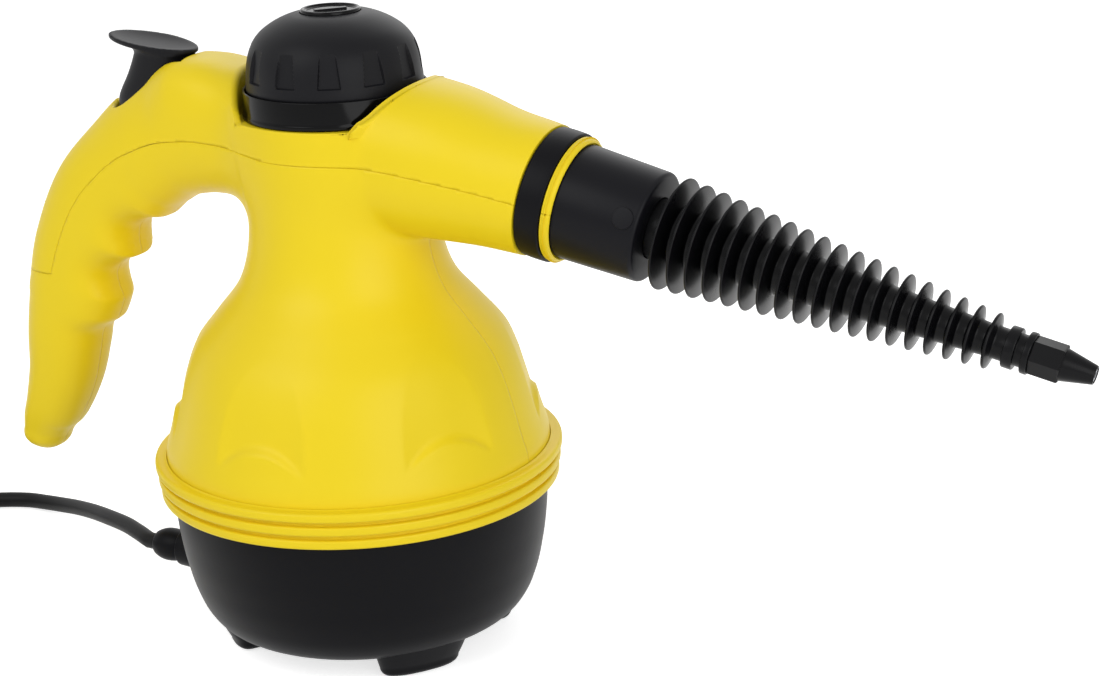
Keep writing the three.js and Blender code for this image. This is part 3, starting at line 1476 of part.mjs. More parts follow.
// Origin: under the middle of the cleaner itself, without its cord and plug
const onCord = /^(cord_lead|cord_coil|cord_tail|plug_)/;
part.updateMatrixWorld(true);
const span = new THREE.Box3();
part.traverse((item) => {
  if (item.isMesh && !onCord.test(item.name)) span.expandByObject(item, true);
});
const middle = span.getCenter(new THREE.Vector3());
part.children.forEach((item) => {
  item.position.x -= middle.x;
  item.position.y -= middle.y;
  item.position.z -= span.min.z;
});
part.updateMatrixWorld(true);
console.log(`origin lies ${middle.x.toFixed(2)} mm ahead of the boiler's axis`);

export default part;
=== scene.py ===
import json
import math

import bpy
import numpy as np
from mathutils import Matrix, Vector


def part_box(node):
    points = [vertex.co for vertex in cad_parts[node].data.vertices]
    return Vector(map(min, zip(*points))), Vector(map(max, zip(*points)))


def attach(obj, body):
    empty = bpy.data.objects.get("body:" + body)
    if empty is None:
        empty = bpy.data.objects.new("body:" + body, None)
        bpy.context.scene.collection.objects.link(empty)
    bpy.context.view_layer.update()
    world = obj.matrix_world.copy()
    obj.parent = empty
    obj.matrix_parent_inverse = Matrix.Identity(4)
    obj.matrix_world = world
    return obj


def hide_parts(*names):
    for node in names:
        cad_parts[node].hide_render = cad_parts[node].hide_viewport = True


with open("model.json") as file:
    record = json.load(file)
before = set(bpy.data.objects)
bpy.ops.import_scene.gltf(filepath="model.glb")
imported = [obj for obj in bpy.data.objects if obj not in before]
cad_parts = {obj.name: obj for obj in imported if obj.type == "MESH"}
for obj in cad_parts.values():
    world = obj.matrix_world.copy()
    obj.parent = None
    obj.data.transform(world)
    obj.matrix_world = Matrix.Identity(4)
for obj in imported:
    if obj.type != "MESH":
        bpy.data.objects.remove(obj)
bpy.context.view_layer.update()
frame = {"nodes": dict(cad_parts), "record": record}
nodes = frame["nodes"]
bandLow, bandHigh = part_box("ribbed_band")
axisX = 500 * (bandLow.x + bandHigh.x)  # the boiler's axis, in mm
print("frame loaded")

# Everything below is worked out in millimetres about the boiler's axis, with the feet at Z = 0


def toFrame(points):
    # shifted to the frame's origin, millimetres to metres
    return (np.asarray(points, float) + (axisX, 0, 0)) * 0.001


def placed(name, data):
    # an object with that data, linked to the scene
    obj = bpy.data.objects.new(name, data)
    bpy.context.scene.collection.objects.link(obj)
    return obj


def aimed(place, right, up, back):
    # the matrix with a camera's or lamp's own three directions as columns, then its place
    matrix = np.eye(4)
    matrix[:3, :3] = np.array([right, up, back]).T
    matrix[:3, 3] = toFrame(place)
    return Matrix(matrix.tolist())


# Camera: solved from the photograph
cameraView = {
    "place": (428.457, -682.151, 359.271),
    "right": (0.89436, 0.44553, -0.04029),
    "up": (-0.10033, 0.28754, 0.9525),
    "back": (0.43595, -0.84784, 0.30186),
    "lens": 78.55,
    "sensor": 36,
    "clip": (0.05, 20),
}
camera = placed("camera", bpy.data.cameras.new("camera"))
camera.data.lens, camera.data.sensor_width = cameraView["lens"], cameraView["sensor"]
camera.data.clip_start, camera.data.clip_end = cameraView["clip"]
camera.matrix_world = aimed(*[cameraView[key] for key in ("place", "right", "up", "back")])
bpy.context.scene.camera = camera
print("camera set")


# Mesh tools


def compact(points, faces):
    # only the corners that a face uses
    used, place = np.unique(np.concatenate([f.ravel() for f in faces]), return_inverse=True)
    cuts = np.cumsum([f.size for f in faces])[:-1]
    parts = np.split(place.ravel(), cuts)
    return points[used], [part.reshape(-1, f.shape[1]) for part, f in zip(parts, faces)]


def gridSurface(grid, wrapRows=False):
    # quads between neighbouring rows and columns of a grid of points; where a row is one point,
    # a pole, two corners of a quad are the same and it becomes a triangle
    rows, columns = grid.shape[:2]
    index = np.arange(rows * columns).reshape(rows, columns)
    pole = np.ptp(grid, axis=1).max(axis=1) < 1e-7
    index[pole] = index[pole, :1]
    down = np.roll(index, -1, 0) if wrapRows else index[1:]
    here = index if wrapRows else index[:-1]
    nextHere, nextDown = np.roll(here, -1, 1), np.roll(down, -1, 1)
    quads = np.stack([here, nextHere, nextDown, down], -1).reshape(-1, 4)
    same = quads == np.roll(quads, -1, 1)
    whole = quads[~same.any(1)]
    one = quads[same.sum(1) == 1]
    keep = ~(one == np.roll(one, -1, 1))
    threes = one[keep].reshape(-1, 3)
    return compact(grid.reshape(-1, 3), [whole, threes])


def volumeOf(points, faces):
    # sum of the tetrahedra between the origin and each triangle
    total = 0.0
    for f in faces:
        for k in range(1, f.shape[1] - 1):
            a, b, c = points[f[:, 0]], points[f[:, k]], points[f[:, k + 1]]
            total += np.einsum("ij,ij->", a, np.cross(b, c)) / 6
    return total


def outwards(surface):
    # faces reversed where the volume comes out below zero
    points, faces = surface
    return (points, [f[:, ::-1] for f in faces]) if volumeOf(points, faces) < 0 else surface


def together(*surfaces):
    # several closed surfaces in one mesh
    starts = np.cumsum([0] + [len(points) for points, _ in surfaces])
    faces = [f + start for (_, fs), start in zip(surfaces, starts) for f in fs]
    sizes = sorted({f.shape[1] for f in faces})
    merged = [np.concatenate([f for f in faces if f.shape[1] == size]) for size in sizes]
    return np.concatenate([points for points, _ in surfaces]), merged


def rounded(corners, steps=5):
    # each corner (r, z, size) becomes a parabola between the points that far along its two sides
    corners = np.asarray(corners, float)
    place, size = corners[:, :2], corners[:, 2:3]
    before, after = np.roll(place, 1, 0) - place, np.roll(place, -1, 0) - place
    longBefore = np.linalg.norm(before, axis=1, keepdims=True) + 1e-12
    longAfter = np.linalg.norm(after, axis=1, keepdims=True) + 1e-12
    start = place + before / longBefore * np.minimum(size, 0.48 * longBefore)
    end = place + after / longAfter * np.minimum(size, 0.48 * longAfter)
    t = np.linspace(0, 1, steps + 1)[None, :, None]
    curve = (1 - t) ** 2 * start[:, None] + 2 * t * (1 - t) * place[:, None] + t**2 * end[:, None]
    curve = curve.reshape(-1, 2)
    apart = np.linalg.norm(curve - np.roll(curve, 1, 0), axis=1) > 1e-6
    return curve[apart]


def spun(r, angle, z):
    # x = r cos a, y = r sin a
    return np.stack(np.broadcast_arrays(r * np.cos(angle), r * np.sin(angle), z), -1)


def turned(profile, sides=128):
    # a closed profile swept round Z
    a = np.linspace(0, 2 * np.pi, sides, endpoint=False)
    return outwards(gridSurface(spun(profile[:, :1], a, profile[:, 1:2]), wrapRows=True))


def laid(surface, matrix, origin):
    # points turned by the rows of a matrix (where X, Y and Z go), then moved
    points, faces = surface
    return outwards((points @ np.asarray(matrix, float) + origin, faces))


def through(before, rows, after, steps):
    # Catmull-Rom: between two rows, the cubic whose slope at each is half the way from the row
    # before it to the row after it
    ends = np.vstack([before, rows, after])
    a, b, c, d = ends[:-3, None], ends[1:-2, None], ends[2:-1, None], ends[3:, None]
    t = np.linspace(0, 1, steps, endpoint=False)[None, :, None]
    second, third = 2 * a - 5 * b + 4 * c - d, 3 * b - a - 3 * c + d
    curve = b + 0.5 * ((c - a) * t + second * t**2 + third * t**3)
    return np.vstack([curve.reshape(-1, rows.shape[1]), rows[-1:]])


def smoothPath(points, spacing):
    # a smooth curve through the points, then even steps along it
    points = np.asarray(points, float)
    curve = through(2 * points[0] - points[1], points, 2 * points[-1] - points[-2], 24)
    run = np.concatenate([[0], np.cumsum(np.linalg.norm(np.diff(curve, axis=0), axis=1))])
    even = np.linspace(0, run[-1], max(int(run[-1] / spacing), 2) + 1)
    return np.stack([np.interp(even, run, curve[:, k]) for k in range(3)], -1)


def piece(name, surface, look, body, stands, angle=35):
    # a smooth mesh, sharp where two faces meet at more than the angle, that stands for CAD nodes
    points, faces = surface
    mesh = bpy.data.meshes.new(name)
    mesh.from_pydata(toFrame(points).tolist(), [], [row for f in faces for row in f.tolist()])
    mesh.polygons.foreach_set("use_smooth", np.ones(len(mesh.polygons), bool))
    mesh.validate()
    if angle:
        mesh.set_sharp_from_angle(angle=math.radians(angle))
    mesh.materials.append(look)
    obj = placed(name, mesh)
    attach(obj, body)
    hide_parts(*stands)
    return obj


# Materials


def linear(rgb):
    # screen values 0 to 255 as scene-linear colour
    c = np.asarray(rgb, float) / 255
    return (*np.where(c <= 0.04045, c / 12.92, ((c + 0.055) / 1.055) ** 2.4).tolist(), 1.0)


def makeGrain():
    # moulded surface on the piece's own coordinates: fine noise raises it, and
    # roughness = gloss + (broad noise - half) * spread
    group = bpy.data.node_groups.new("mouldedGrain", "ShaderNodeTree")
    face, add = group.interface, group.nodes.new
    for name in ("Scale", "Gloss", "Spread", "Height"):
        face.new_socket(name=name, in_out="INPUT", socket_type="NodeSocketFloat")
    face.new_socket(name="Roughness", in_out="OUTPUT", socket_type="NodeSocketFloat")
    face.new_socket(name="Normal", in_out="OUTPUT", socket_type="NodeSocketVector")
    enter, leave = add("NodeGroupInput"), add("NodeGroupOutput")
    kinds = ("TexCoord", "TexNoise", "TexNoise", "Bump")
    place, fine, broad, bump = [add("ShaderNode" + kind) for kind in kinds]
    middle, spread = add("ShaderNodeMath"), add("ShaderNodeMath")
    middle.operation, spread.operation = "SUBTRACT", "MULTIPLY_ADD"
    for node, socket, value in (
        (fine, "Detail", 3), (broad, "Scale", 45), (broad, "Detail", 2), (middle, 1, 0.5),
        (bump, "Distance", 0.0002),
    ):
        node.inputs[socket].default_value = value
    for start, output, end, socket in (
        (place, "Object", fine, "Vector"), (place, "Object", broad, "Vector"),
        (enter, "Scale", fine, "Scale"), (broad, "Fac", middle, 0), (middle, 0, spread, 0),
        (enter, "Spread", spread, 1), (enter, "Gloss", spread, 2),
        (enter, "Height", bump, "Strength"), (fine, "Fac", bump, "Height"),
        (spread, 0, leave, "Roughness"), (bump, "Normal", leave, "Normal"),
    ):
        group.links.new(start.outputs[output], end.inputs[socket])
    return group


grain = makeGrain()


def material(name, rgb, gloss, spread=0.04, height=0.02, scale=900.0, metal=0.0, specular=0.5):
    # plain colour, metal and specular level on the shader, roughness and bumps from the grain
    made = bpy.data.materials.new(name)
    made.use_nodes = True
    tree = made.node_tree
    shader = tree.nodes["Principled BSDF"]
    plain = {"Base Color": linear(rgb), "Metallic": metal, "Specular IOR Level": specular}
    for socket, value in plain.items():
        shader.inputs[socket].default_value = value
    surface = tree.nodes.new("ShaderNodeGroup")
    surface.node_tree = grain
    uneven = {"Scale": scale, "Gloss": gloss, "Spread": spread, "Height": height}
    for socket, value in uneven.items():
        surface.inputs[socket].default_value = value
    tree.links.new(surface.outputs["Roughness"], shader.inputs["Roughness"])
    tree.links.new(surface.outputs["Normal"], shader.inputs["Normal"])
    return made


yellow = material("yellowShell", (240, 212, 30), 0.4, 0.05, 0.02, specular=0.22)
satinBlack = material("satinBlack", (15, 15, 18), 0.4, 0.05, 0.05, specular=0.08)
cupBlack = material("cupBlack", (17, 17, 21), 0.38, 0.05, 0.05, specular=0.11)
barrelBlack = material("barrelBlack", (10, 10, 12), 0.28, 0.05, 0.03, specular=0.13)
capBlack = material("capBlack", (20, 20, 23), 0.44, 0.05, 0.06, specular=0.13)
glossBlack = material("glossBlack", (6, 6, 7), 0.12, 0.03, 0.0, specular=0.13)
blackRubber = material("blackRubber", (18, 18, 19), 0.5, 0.06, 0.08, specular=0.16)
slotLooks = {
    "yellow_shell": yellow,
    "black_satin": satinBlack,
    "black_gloss": glossBlack,
    "black_rubber": blackRubber,
    "dark_plastic": material("innerBlack", (44, 45, 48), 0.55, 0.05, 0.05),
    "cast_aluminium": material("castMetal", (190, 192, 196), 0.5, 0.15, 0.35, 500, metal=1.0),
    "brass": material("turnedBrass", (205, 168, 92), 0.32, 0.12, 0.05, metal=1.0),
    "steel": material("zincSteel", (185, 187, 192), 0.3, 0.12, 0.05, metal=1.0),
    "silicone": material("redSilicone", (168, 66, 44), 0.6, 0.06, 0.05),
    "ceramic": material("ceramic", (233, 230, 220), 0.5, 0.05, 0.1),
}
for part in frame["record"]["subparts"]:
    mesh = nodes[part["node"]].data
    mesh.materials.clear()
    mesh.materials.append(slotLooks[part["material_slot"]])
print("materials made")


# Cord: lead, flat coil of two layers, tail and plug

cordSettings = {
    "radius": 3.1,
    "exit": (-92.8, 0, 17.5),
    "lead": [
        (-104.4, 5, 17.3), (-116.5, 12.6, 16.2), (-131.2, 21.3, 13.8), (-146, 30.3, 10.8),
        (-160, 37.9, 7.8), (-172.8, 43.4, 5.2), (-184.2, 46.4, 3.7), (-193.3, 46.9, 3.15),
        (-203.9, 43.2, 3.1), (-217, 35.8, 3.1),
    ],
    "coil": (-220, -26),
    "mean": 37.2,
    "pitch": 7.44,
    "turns": 3.289,
    "start": 122,
    "tail": 36,
    "tailShare": [0, 0.12, 0.35, 0.65, 0.88, 1],  # along the tail
    "tailRise": [0, 0, 0.22, 0.78, 1, 1],  # its share of the climb there
    "plugHeight": 17.3,
    "spacing": 4,
}


def coilPath(c):
    # inwards on the floor, half a turn's climb, then outwards on top: the radius and the height run
    # evenly between the turns where one of these ends
    half = c["turns"] * c["pitch"] / 2
    turns = [0, c["turns"], c["turns"] + 0.5, 2 * c["turns"] + 0.5]
    radius = [c["mean"] + half, c["mean"] - half, c["mean"] - half, c["mean"] + half]
    height = [0, 0, c["pitch"], c["pitch"]]
    t = np.arange(0, turns[-1], 1 / 72)
    t = np.append(t, turns[-1])
    angle = math.radians(c["start"]) + 2 * np.pi * t
    r, z = np.interp(t, turns, radius), np.interp(t, turns, height)
    heading = np.stack([-np.sin(angle), np.cos(angle), 0 * angle], -1)
    return spun(r, angle, c["radius"] + z) + (*c["coil"], 0), heading


c = cordSettings
coil, heading = coilPath(c)
straight = 2 * c["radius"]
coilIn, coilOut = coil[0] - straight * heading[0], coil[-1] + straight * heading[-1]
exitStep = (c["exit"][0] - c["radius"], 0, c["exit"][2])
leadPoints = [c["exit"], exitStep, *c["lead"], coilIn - 2 * straight * heading[0], coilIn]
lead = smoothPath(leadPoints, c["spacing"])
tailEnd = coilOut + (c["tail"] + 0.6) * heading[-1]
tail = coilOut + np.array(c["tailShare"])[:, None] * (tailEnd - coilOut)
tail[:, 2] += np.array(c["tailRise"]) * (c["plugHeight"] - coilOut[2])
cordPath = np.vstack([lead, coil, smoothPath(tail, c["spacing"])])


def tubeCurve(name, path, radius, look):
    # a round bevel along one open line of points
    curve = bpy.data.curves.new(name, "CURVE")
    curve.dimensions = "3D"
    curve.bevel_depth = radius * 0.001
    curve.bevel_resolution = 5
    curve.use_fill_caps = True
    line = curve.splines.new("POLY")
    line.points.add(len(path) - 1)
    line.points.foreach_set("co", np.hstack([toFrame(path), np.ones((len(path), 1))]).ravel())
    curve.materials.append(look)
    return placed(name, curve)


cord = tubeCurve("mains_cord", cordPath, c["radius"], blackRubber)
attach(cord, "housing")
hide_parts("cord_lead", "cord_coil", "cord_tail")

plugSettings = {"relief": 22, "shoulder": 27, "face": 50, "radius": 17, "tip": 4.4, "root": 7}
p = plugSettings
plugProfile = rounded(
    [
        (0, 0.3, 0), (p["tip"], 0.3, 0.6), (p["root"], p["relief"], 3),
        (p["radius"] - 2, p["shoulder"], 3), (p["radius"], p["shoulder"] + 3, 2),
        (p["radius"], p["face"] - 2, 1.6), (p["radius"] - 2, p["face"], 1.2), (0, p["face"], 0),
    ]
)
away = heading[-1]
aside = np.array([-away[1], away[0], 0])
plugFrame = np.array([aside, (0, 0, 1), away])
plugSurface = laid(turned(plugProfile, 64), plugFrame, (*tailEnd[:2], c["plugHeight"]))
plug = piece("plug", plugSurface, blackRubber, "housing", ["plug_body"])


# Housing: a turned bell melted into a swept beam, as one distance that is below zero inside

housing = {
    "bandRadius": 72, "foot": 66, "top": 190, "wall": 2.3, "parting": 0.17, "cell": 1.25,
    "bell": [
        (0, 0.94), (0.057, 0.938), (0.114, 0.91), (0.195, 0.872), (0.276, 0.828), (0.358, 0.76),
        (0.439, 0.647), (0.52, 0.533), (0.602, 0.478), (0.7, 0.455), (0.846, 0.45), (1, 0.45),
    ],
    "dimples": 6, "dimpleTurn": -90, "dimpleHalf": 15.2, "dimpleLow": 79, "dimpleTop": 116,
    "dimpleDepth": 2.6, "dimplePower": 2.6, "lipRise": 7.8, "lipRamp": 3.2,
    "reach": 144.6, "height": 183, "neck": 22.3, "neckX": 78.2, "neckZ": 167.3, "droop": 13.3,
    "handle": [
        (-0.972, 0.325, 0.24, 0.47, 0.44), (-0.955, 0.36, 0.28, 0.57, 0.51),
        (-0.925, 0.4, 0.38, 0.64, 0.56), (-0.885, 0.465, 0.53, 0.67, 0.61),
        (-0.862, 0.53, 0.625, 0.69, 0.65), (-0.846, 0.576, 0.67, 0.7, 0.662),
        (-0.832, 0.612, 0.71, 0.93, 0.67), (-0.82, 0.642, 0.75, 0.965, 0.676),
        (-0.775, 0.721, 0.86, 0.969, 0.691), (-0.692, 0.82, 0.96, 0.96, 0.717),
        (-0.581, 0.907, 0.98, 0.969, 0.753), (-0.52, 0.94, 1.06, 0.969, 0.79),
        (-0.456, 0.967, 1.15, 0.99, 0.825), (-0.39, 0.984, 1.19, 1.03, 0.87),
        (-0.33, 0.994, 1.1, 1.07, 0.915), (-0.27, 0.998, 0.99, 1.1, 0.96),
        (-0.2, 1, 0.93, 1.15, 1.03), (-0.138, 1, 0.94, 1.211, 1.121),
    ],
    "bridge": [
        (0.128, 0.986, 1.12, 1.283, 1.238), (0.512, 0.958, 1.15, 1.18, 1.211),
        (0.793, 0.934, 1.02, 1.06, 1.09),
    ],
    "neckReach": 16.8, "neckTaper": 0.9, "endRound": 8,
    "outerBulge": [
        (0, 2.3), (0.33, 2.3), (0.39, 1.9), (0.435, 1.65), (0.47, 1.65), (0.492, 2.2), (0.513, 2.9),
        (0.54, 3.1), (0.588, 2.6), (0.68, 2.4), (0.936, 2.08),
    ],
    "innerBulge": [(0, 2.5), (0.7, 2.5), (0.936, 2.08)],
    "handleBlend": 11, "neckBlend": 4, "blendX": (10, 30),
    "ridges": [(-0.491, 0.798), (-0.598, 0.714), (-0.669, 0.617)], "grooveDepth": 7.2,
    "cutBack": 0.3, "neckAbove": 130, "handleBeyond": 95,
    "recessRadius": 34, "recessX": 1, "recessFloor": 189, "floorRings": (31, 24, 14.5, 14.2),
    "rimHandle": 2.4, "rimNozzle": 0.12, "rimDrop": 0.5, "rimCrispFrom": 6,
    "slotHalf": 9.8, "slotRear": -91.6, "slotBend": -79, "slotFront": -56, "slotBase": 176,
    "slotPower": 2.4, "seamStart": 0.222, "seamClosed": 0.003,
    "seam": [
        (0.2, 0.045), (0.25, 0.117), (0.32, 0.188), (0.38, 0.166), (0.42, 0.099), (0.47, 0.009),
        (0.52, -0.081), (0.58, -0.157), (0.64, -0.197), (0.69, -0.161), (0.74, -0.09),
        (0.79, -0.018), (0.86, 0.013), (1, 0.022),
    ],
    "spout": [  # radius, and way along the nozzle's axis
        (22.0, -0.3), (19.9, -0.3), (19.9, 9.0), (21.0, 9.0), (21.2, 9.2), (20.9, 11.2),
        (20.5, 11.9), (20.0, 12.1), (19.7, 11.9), (19.5, 11.2), (18.2, 10.6), (18.2, -4.0),
        (16.4, -4.0), (16.4, -6.0),
    ],
    "gridFrom": (-160.0, -74.0, 40.0), "gridSize": (262, 148, 176),
}
h = housing
droop = math.radians(h["droop"])
nozzleAlong = np.array([math.cos(droop), 0, -math.sin(droop)])
nozzleUp = np.array([math.sin(droop), 0, math.cos(droop)])
nozzleSide = np.array([0, -1.0, 0])
nozzleFrame = np.array([nozzleUp, nozzleSide, nozzleAlong])
nozzleStart = np.array([h["neckX"], 0, h["neckZ"]])


def hermite(table, at, column=1):
    # cubic pieces through the rows, each end's slope taken across its neighbours
    table = np.asarray(table, float)
    x, y = table[:, 0], table[:, column]
    slope = np.empty_like(y)
    slope[1:-1] = (y[2:] - y[:-2]) / (x[2:] - x[:-2])
    slope[0], slope[-1] = (y[1] - y[0]) / (x[1] - x[0]), (y[-1] - y[-2]) / (x[-1] - x[-2])
    at = np.clip(at, x[0], x[-1])
    i = np.clip(np.searchsorted(x, at, side="right") - 1, 0, len(x) - 2)
    span = x[i + 1] - x[i]
    t = (at - x[i]) / span
    return (
        y[i] * (2 * t**3 - 3 * t**2 + 1) + y[i + 1] * (3 * t**2 - 2 * t**3)
        + span * (slope[i] * (t**3 - 2 * t**2 + t) + slope[i + 1] * (t**3 - t**2))
    )


def ease(t):
    # 3 t squared less 2 t cubed: level at 0 and at 1
    t = np.clip(t, 0, 1)
    return t * t * (3 - 2 * t)


def melted(a, b, reach):
    # the lesser of two distances, rounded where they are within reach of each other
    k = np.maximum(reach - np.abs(a - b), 0) / reach
    return np.minimum(a, b) - k * k * reach / 4


def makeSpine():
    # a smooth curve through the beam's stations, each with its place in the XZ plane and its outer,
    # inner and cross half thickness
    along, up, past = np.cos(droop), np.sin(droop), h["neckReach"]
    thick = h["neck"]
    rows = [(x * h["reach"], z * h["height"], *(thick * np.array(t))) for x, z, *t in h["handle"]]
    rows += [(x * h["neckX"], z * h["height"], *(thick * np.array(t))) for x, z, *t in h["bridge"]]
    rows.append((h["neckX"], h["neckZ"], thick, thick, thick))
    tip = [h["neckTaper"] * thick] * 3
    rows.append((h["neckX"] + past * along, h["neckZ"] - past * up, *tip))
    rows = np.array(rows)
    return through(rows[:1], rows, rows[-1:], 10)


spine = makeSpine()
spineStep = np.diff(spine[:, :2], axis=0)
spineLong = np.linalg.norm(spineStep, axis=1)
spineArc = np.concatenate([[0], np.cumsum(spineLong)])
spineTurn = spineStep / spineLong[:, None]


def onSpine(x, z):
    # nearest point of the centre line: arc length, distance to its outer side, way past its end
    dx, dz = x[:, None] - spine[:-1, 0], z[:, None] - spine[:-1, 1]
    along = dx * spineTurn[:, 0] + dz * spineTurn[:, 1]
    kept = np.clip(along, 0, spineLong)
    far = np.hypot(dx - kept * spineTurn[:, 0], dz - kept * spineTurn[:, 1])
    i = np.argmin(far, axis=1)
    row = np.arange(len(x))
    side = dz[row, i] * spineTurn[i, 0] - dx[row, i] * spineTurn[i, 1]
    past = np.where((i == 0) | (i == len(spineLong) - 1), along[row, i] - kept[row, i], 0)
    return spineArc[i] + kept[row, i], side, past


ridgePlace = np.array(h["ridges"]) * (h["reach"], h["height"])
ridgeArc = onSpine(ridgePlace[:, 0], ridgePlace[:, 1])[0]


def crossFacts(x, z):
    # the beam at a place in its plane: side, past, its three half thicknesses and its squareness;
    # between two ridges a sine arch, rounded at both ends, is taken off the inner side
    arc, side, past = onSpine(x, z)
    outer, inner, wide = [np.interp(arc, spineArc, spine[:, k]) for k in (2, 3, 4)]
    for i in (0, 1):
        part = (arc - ridgeArc[i + 1]) / (ridgeArc[i] - ridgeArc[i + 1])
        inside = (part > 0) & (part < 1)
        wave = np.sqrt(np.sin(np.pi * np.clip(part, 0, 1)) ** 2 + 0.02) - 0.1414
        inner = inner - inside * h["grooveDepth"] * wave
    share = arc / spineArc[-1]
    bulge = np.where(side > 0, hermite(h["outerBulge"], share), hermite(h["innerBulge"], share))
    return side, past, outer, inner, wide, bulge


def beamFrom(facts, y):
    # squared-off ellipse: distance from the centre line less the section's reach in that direction
    side, past, outer, inner, wide, n = facts
    half = np.where(side > 0, outer, inner)
    u, v, w = np.abs(side / half), np.abs(y / wide), np.abs(past / h["endRound"])
    reach = (u**n + v**n + w**n) ** (1 / n)
    far = np.sqrt(side**2 + y**2 + past**2)
    return far - far / np.maximum(reach, 1e-9)


def dimple(x, y, z):
    # arched hollows, deepest at a domed ledge and fading out upwards and sideways
    step = 360 / h["dimples"]
    angle = (np.degrees(np.arctan2(y, x)) - h["dimpleTurn"] + step / 2) % step - step / 2
    up = np.clip((z - h["dimpleLow"]) / (h["dimpleTop"] - h["dimpleLow"]), 0, 1)
    half = h["dimpleHalf"] * np.sqrt(1 - up**3) + 1e-3
    across = np.minimum(np.abs(angle) / h["dimpleHalf"], 1)
    lip = h["dimpleLow"] + h["lipRise"] * (1 - across**2)
    inside = 1 - np.minimum(np.abs(angle) / half, 1) ** h["dimplePower"]
    ramp = 1 - (1 - np.clip((z - lip) / h["lipRamp"], 0, 1)) ** 2
    return h["dimpleDepth"] * (1 - up) * inside * ramp


def bellDistance(x, y, z):
    # radius from the axis less the profile's there, over the length of its slope
    share = (z - h["foot"]) / (h["top"] - h["foot"])
    radius = h["bandRadius"] * hermite(h["bell"], share)
    lean = h["bandRadius"] * (hermite(h["bell"], share + 0.01) - hermite(h["bell"], share - 0.01))
    lean = lean / (0.02 * (h["top"] - h["foot"]))
    out = (np.hypot(x, y) - radius + dimple(x, y, z)) / np.hypot(1, lean)
    return np.maximum(out, np.maximum(z - h["top"], h["foot"] - 3 - z))


def housingFrom(facts, x, y, z):
    # bell and beam melted together, over a longer way at the handle than at the neck
    low, high = h["blendX"]
    share = np.clip((x - low) / (high - low), 0, 1)
    reach = h["handleBlend"] + (h["neckBlend"] - h["handleBlend"]) * share
    return melted(bellDistance(x, y, z), beamFrom(facts, y), reach)


def housingDistance(p):
    # the same for a list of points
    return housingFrom(crossFacts(p[:, 0], p[:, 2]), p[:, 0], p[:, 1], p[:, 2])


def netSurface(value, low, cell):
    # one corner in each grid cell that the surface crosses, at the mean of its edges' crossings,
    # and one quad round each grid edge that it crosses
    inside = value < 0
    size = np.array(value.shape) - 1
    total, count = np.zeros((*size, 3)), np.zeros(size)
    corner = [np.array([a, b, c]) for a in (0, 1) for b in (0, 1) for c in (0, 1)]

    def part(at, array):
        return array[at[0] : at[0] + size[0], at[1] : at[1] + size[1], at[2] : at[2] + size[2]]

    for start, axis in ((start, axis) for start in corner for axis in range(3) if not start[axis]):
        end = start + np.eye(3, dtype=int)[axis]
        a, b = part(start, value), part(end, value)
        crossed = part(start, inside) != part(end, inside)
        t = np.where(crossed, a / np.where(crossed, a - b, 1), 0)
        for k in range(3):
            total[..., k] += crossed * (start[k] + (t if k == axis else 0))
        count += crossed
    live = count > 0
    index = np.full(size, -1)
    index[live] = np.arange(live.sum())
    cells = np.argwhere(live)
    points = np.asarray(low) + cell * (cells + total[live] / count[live][:, None])
    quads = []
    for axis in range(3):
        crossed = inside != np.roll(inside, -1, axis)
        at = np.argwhere(crossed[1:-1, 1:-1, 1:-1]) + 1
        p, q = (axis + 1) % 3, (axis + 2) % 3
        steps = np.zeros((4, 3), int)
        steps[1, p] = steps[2, p] = steps[2, q] = steps[3, q] = 1
        around = at[:, None] - steps[None]
        quad = index[around[..., 0], around[..., 1], around[..., 2]]
        flip = ~inside[at[:, 0], at[:, 1], at[:, 2]]
        quad[flip] = quad[flip][:, ::-1]
        quads.append(quad)
    return points, np.concatenate(quads)


def slid(points, distance, cell, tiny=0.01):
    # four Newton steps on to the surface, each at most a third of a cell
    for _ in range(4):
        off = distance(points)
        slope = np.stack([distance(points + tiny * axis) - off for axis in np.eye(3)], -1) / tiny
        step = off / np.maximum((slope**2).sum(1), 0.25)
        points = points - slope * np.clip(step, -cell / 3, cell / 3)[:, None]
    return points


def threesOf(points, quads):
    # each quad cut along its shorter diagonal
    a = np.linalg.norm(points[quads[:, 0]] - points[quads[:, 2]], axis=1)
    b = np.linalg.norm(points[quads[:, 1]] - points[quads[:, 3]], axis=1)
    first = np.where((a <= b)[:, None], quads[:, [0, 1, 2]], quads[:, [0, 1, 3]])
    second = np.where((a <= b)[:, None], quads[:, [0, 2, 3]], quads[:, [1, 2, 3]])
    return np.concatenate([first, second])


def split(points, threes, value):
    # triangles cut along the line where value is zero, by straight shares of their edges
    value = np.where(np.abs(value) < 1e-7, 1e-7, value)
    above = value > 0
    count = above[threes].sum(1)
    whole = (count == 0) | (count == 3)
    cut = threes[~whole]
    alone = np.where(count[~whole] == 1, 1, 0)[:, None] == above[cut]
    first = np.argmax(alone, axis=1)
    row = np.arange(len(cut))
    a, b, c = cut[row, first], cut[row, (first + 1) % 3], cut[row, (first + 2) % 3]
    edges = np.sort(np.concatenate([np.stack([a, b], 1), np.stack([a, c], 1)]), axis=1)
    unique, place = np.unique(edges, axis=0, return_inverse=True)
    place = place.ravel() + len(points)
    p, q = place[: len(cut)], place[len(cut) :]
    va, vb = value[unique[:, 0]], value[unique[:, 1]]
    t = (va / (va - vb))[:, None]
    new = points[unique[:, 0]] * (1 - t) + points[unique[:, 1]] * t
    made = [np.stack([a, p, q], 1), np.stack([p, b, c], 1), np.stack([p, c, q], 1)]
    return np.vstack([points, new]), np.concatenate([threes[whole], *made])


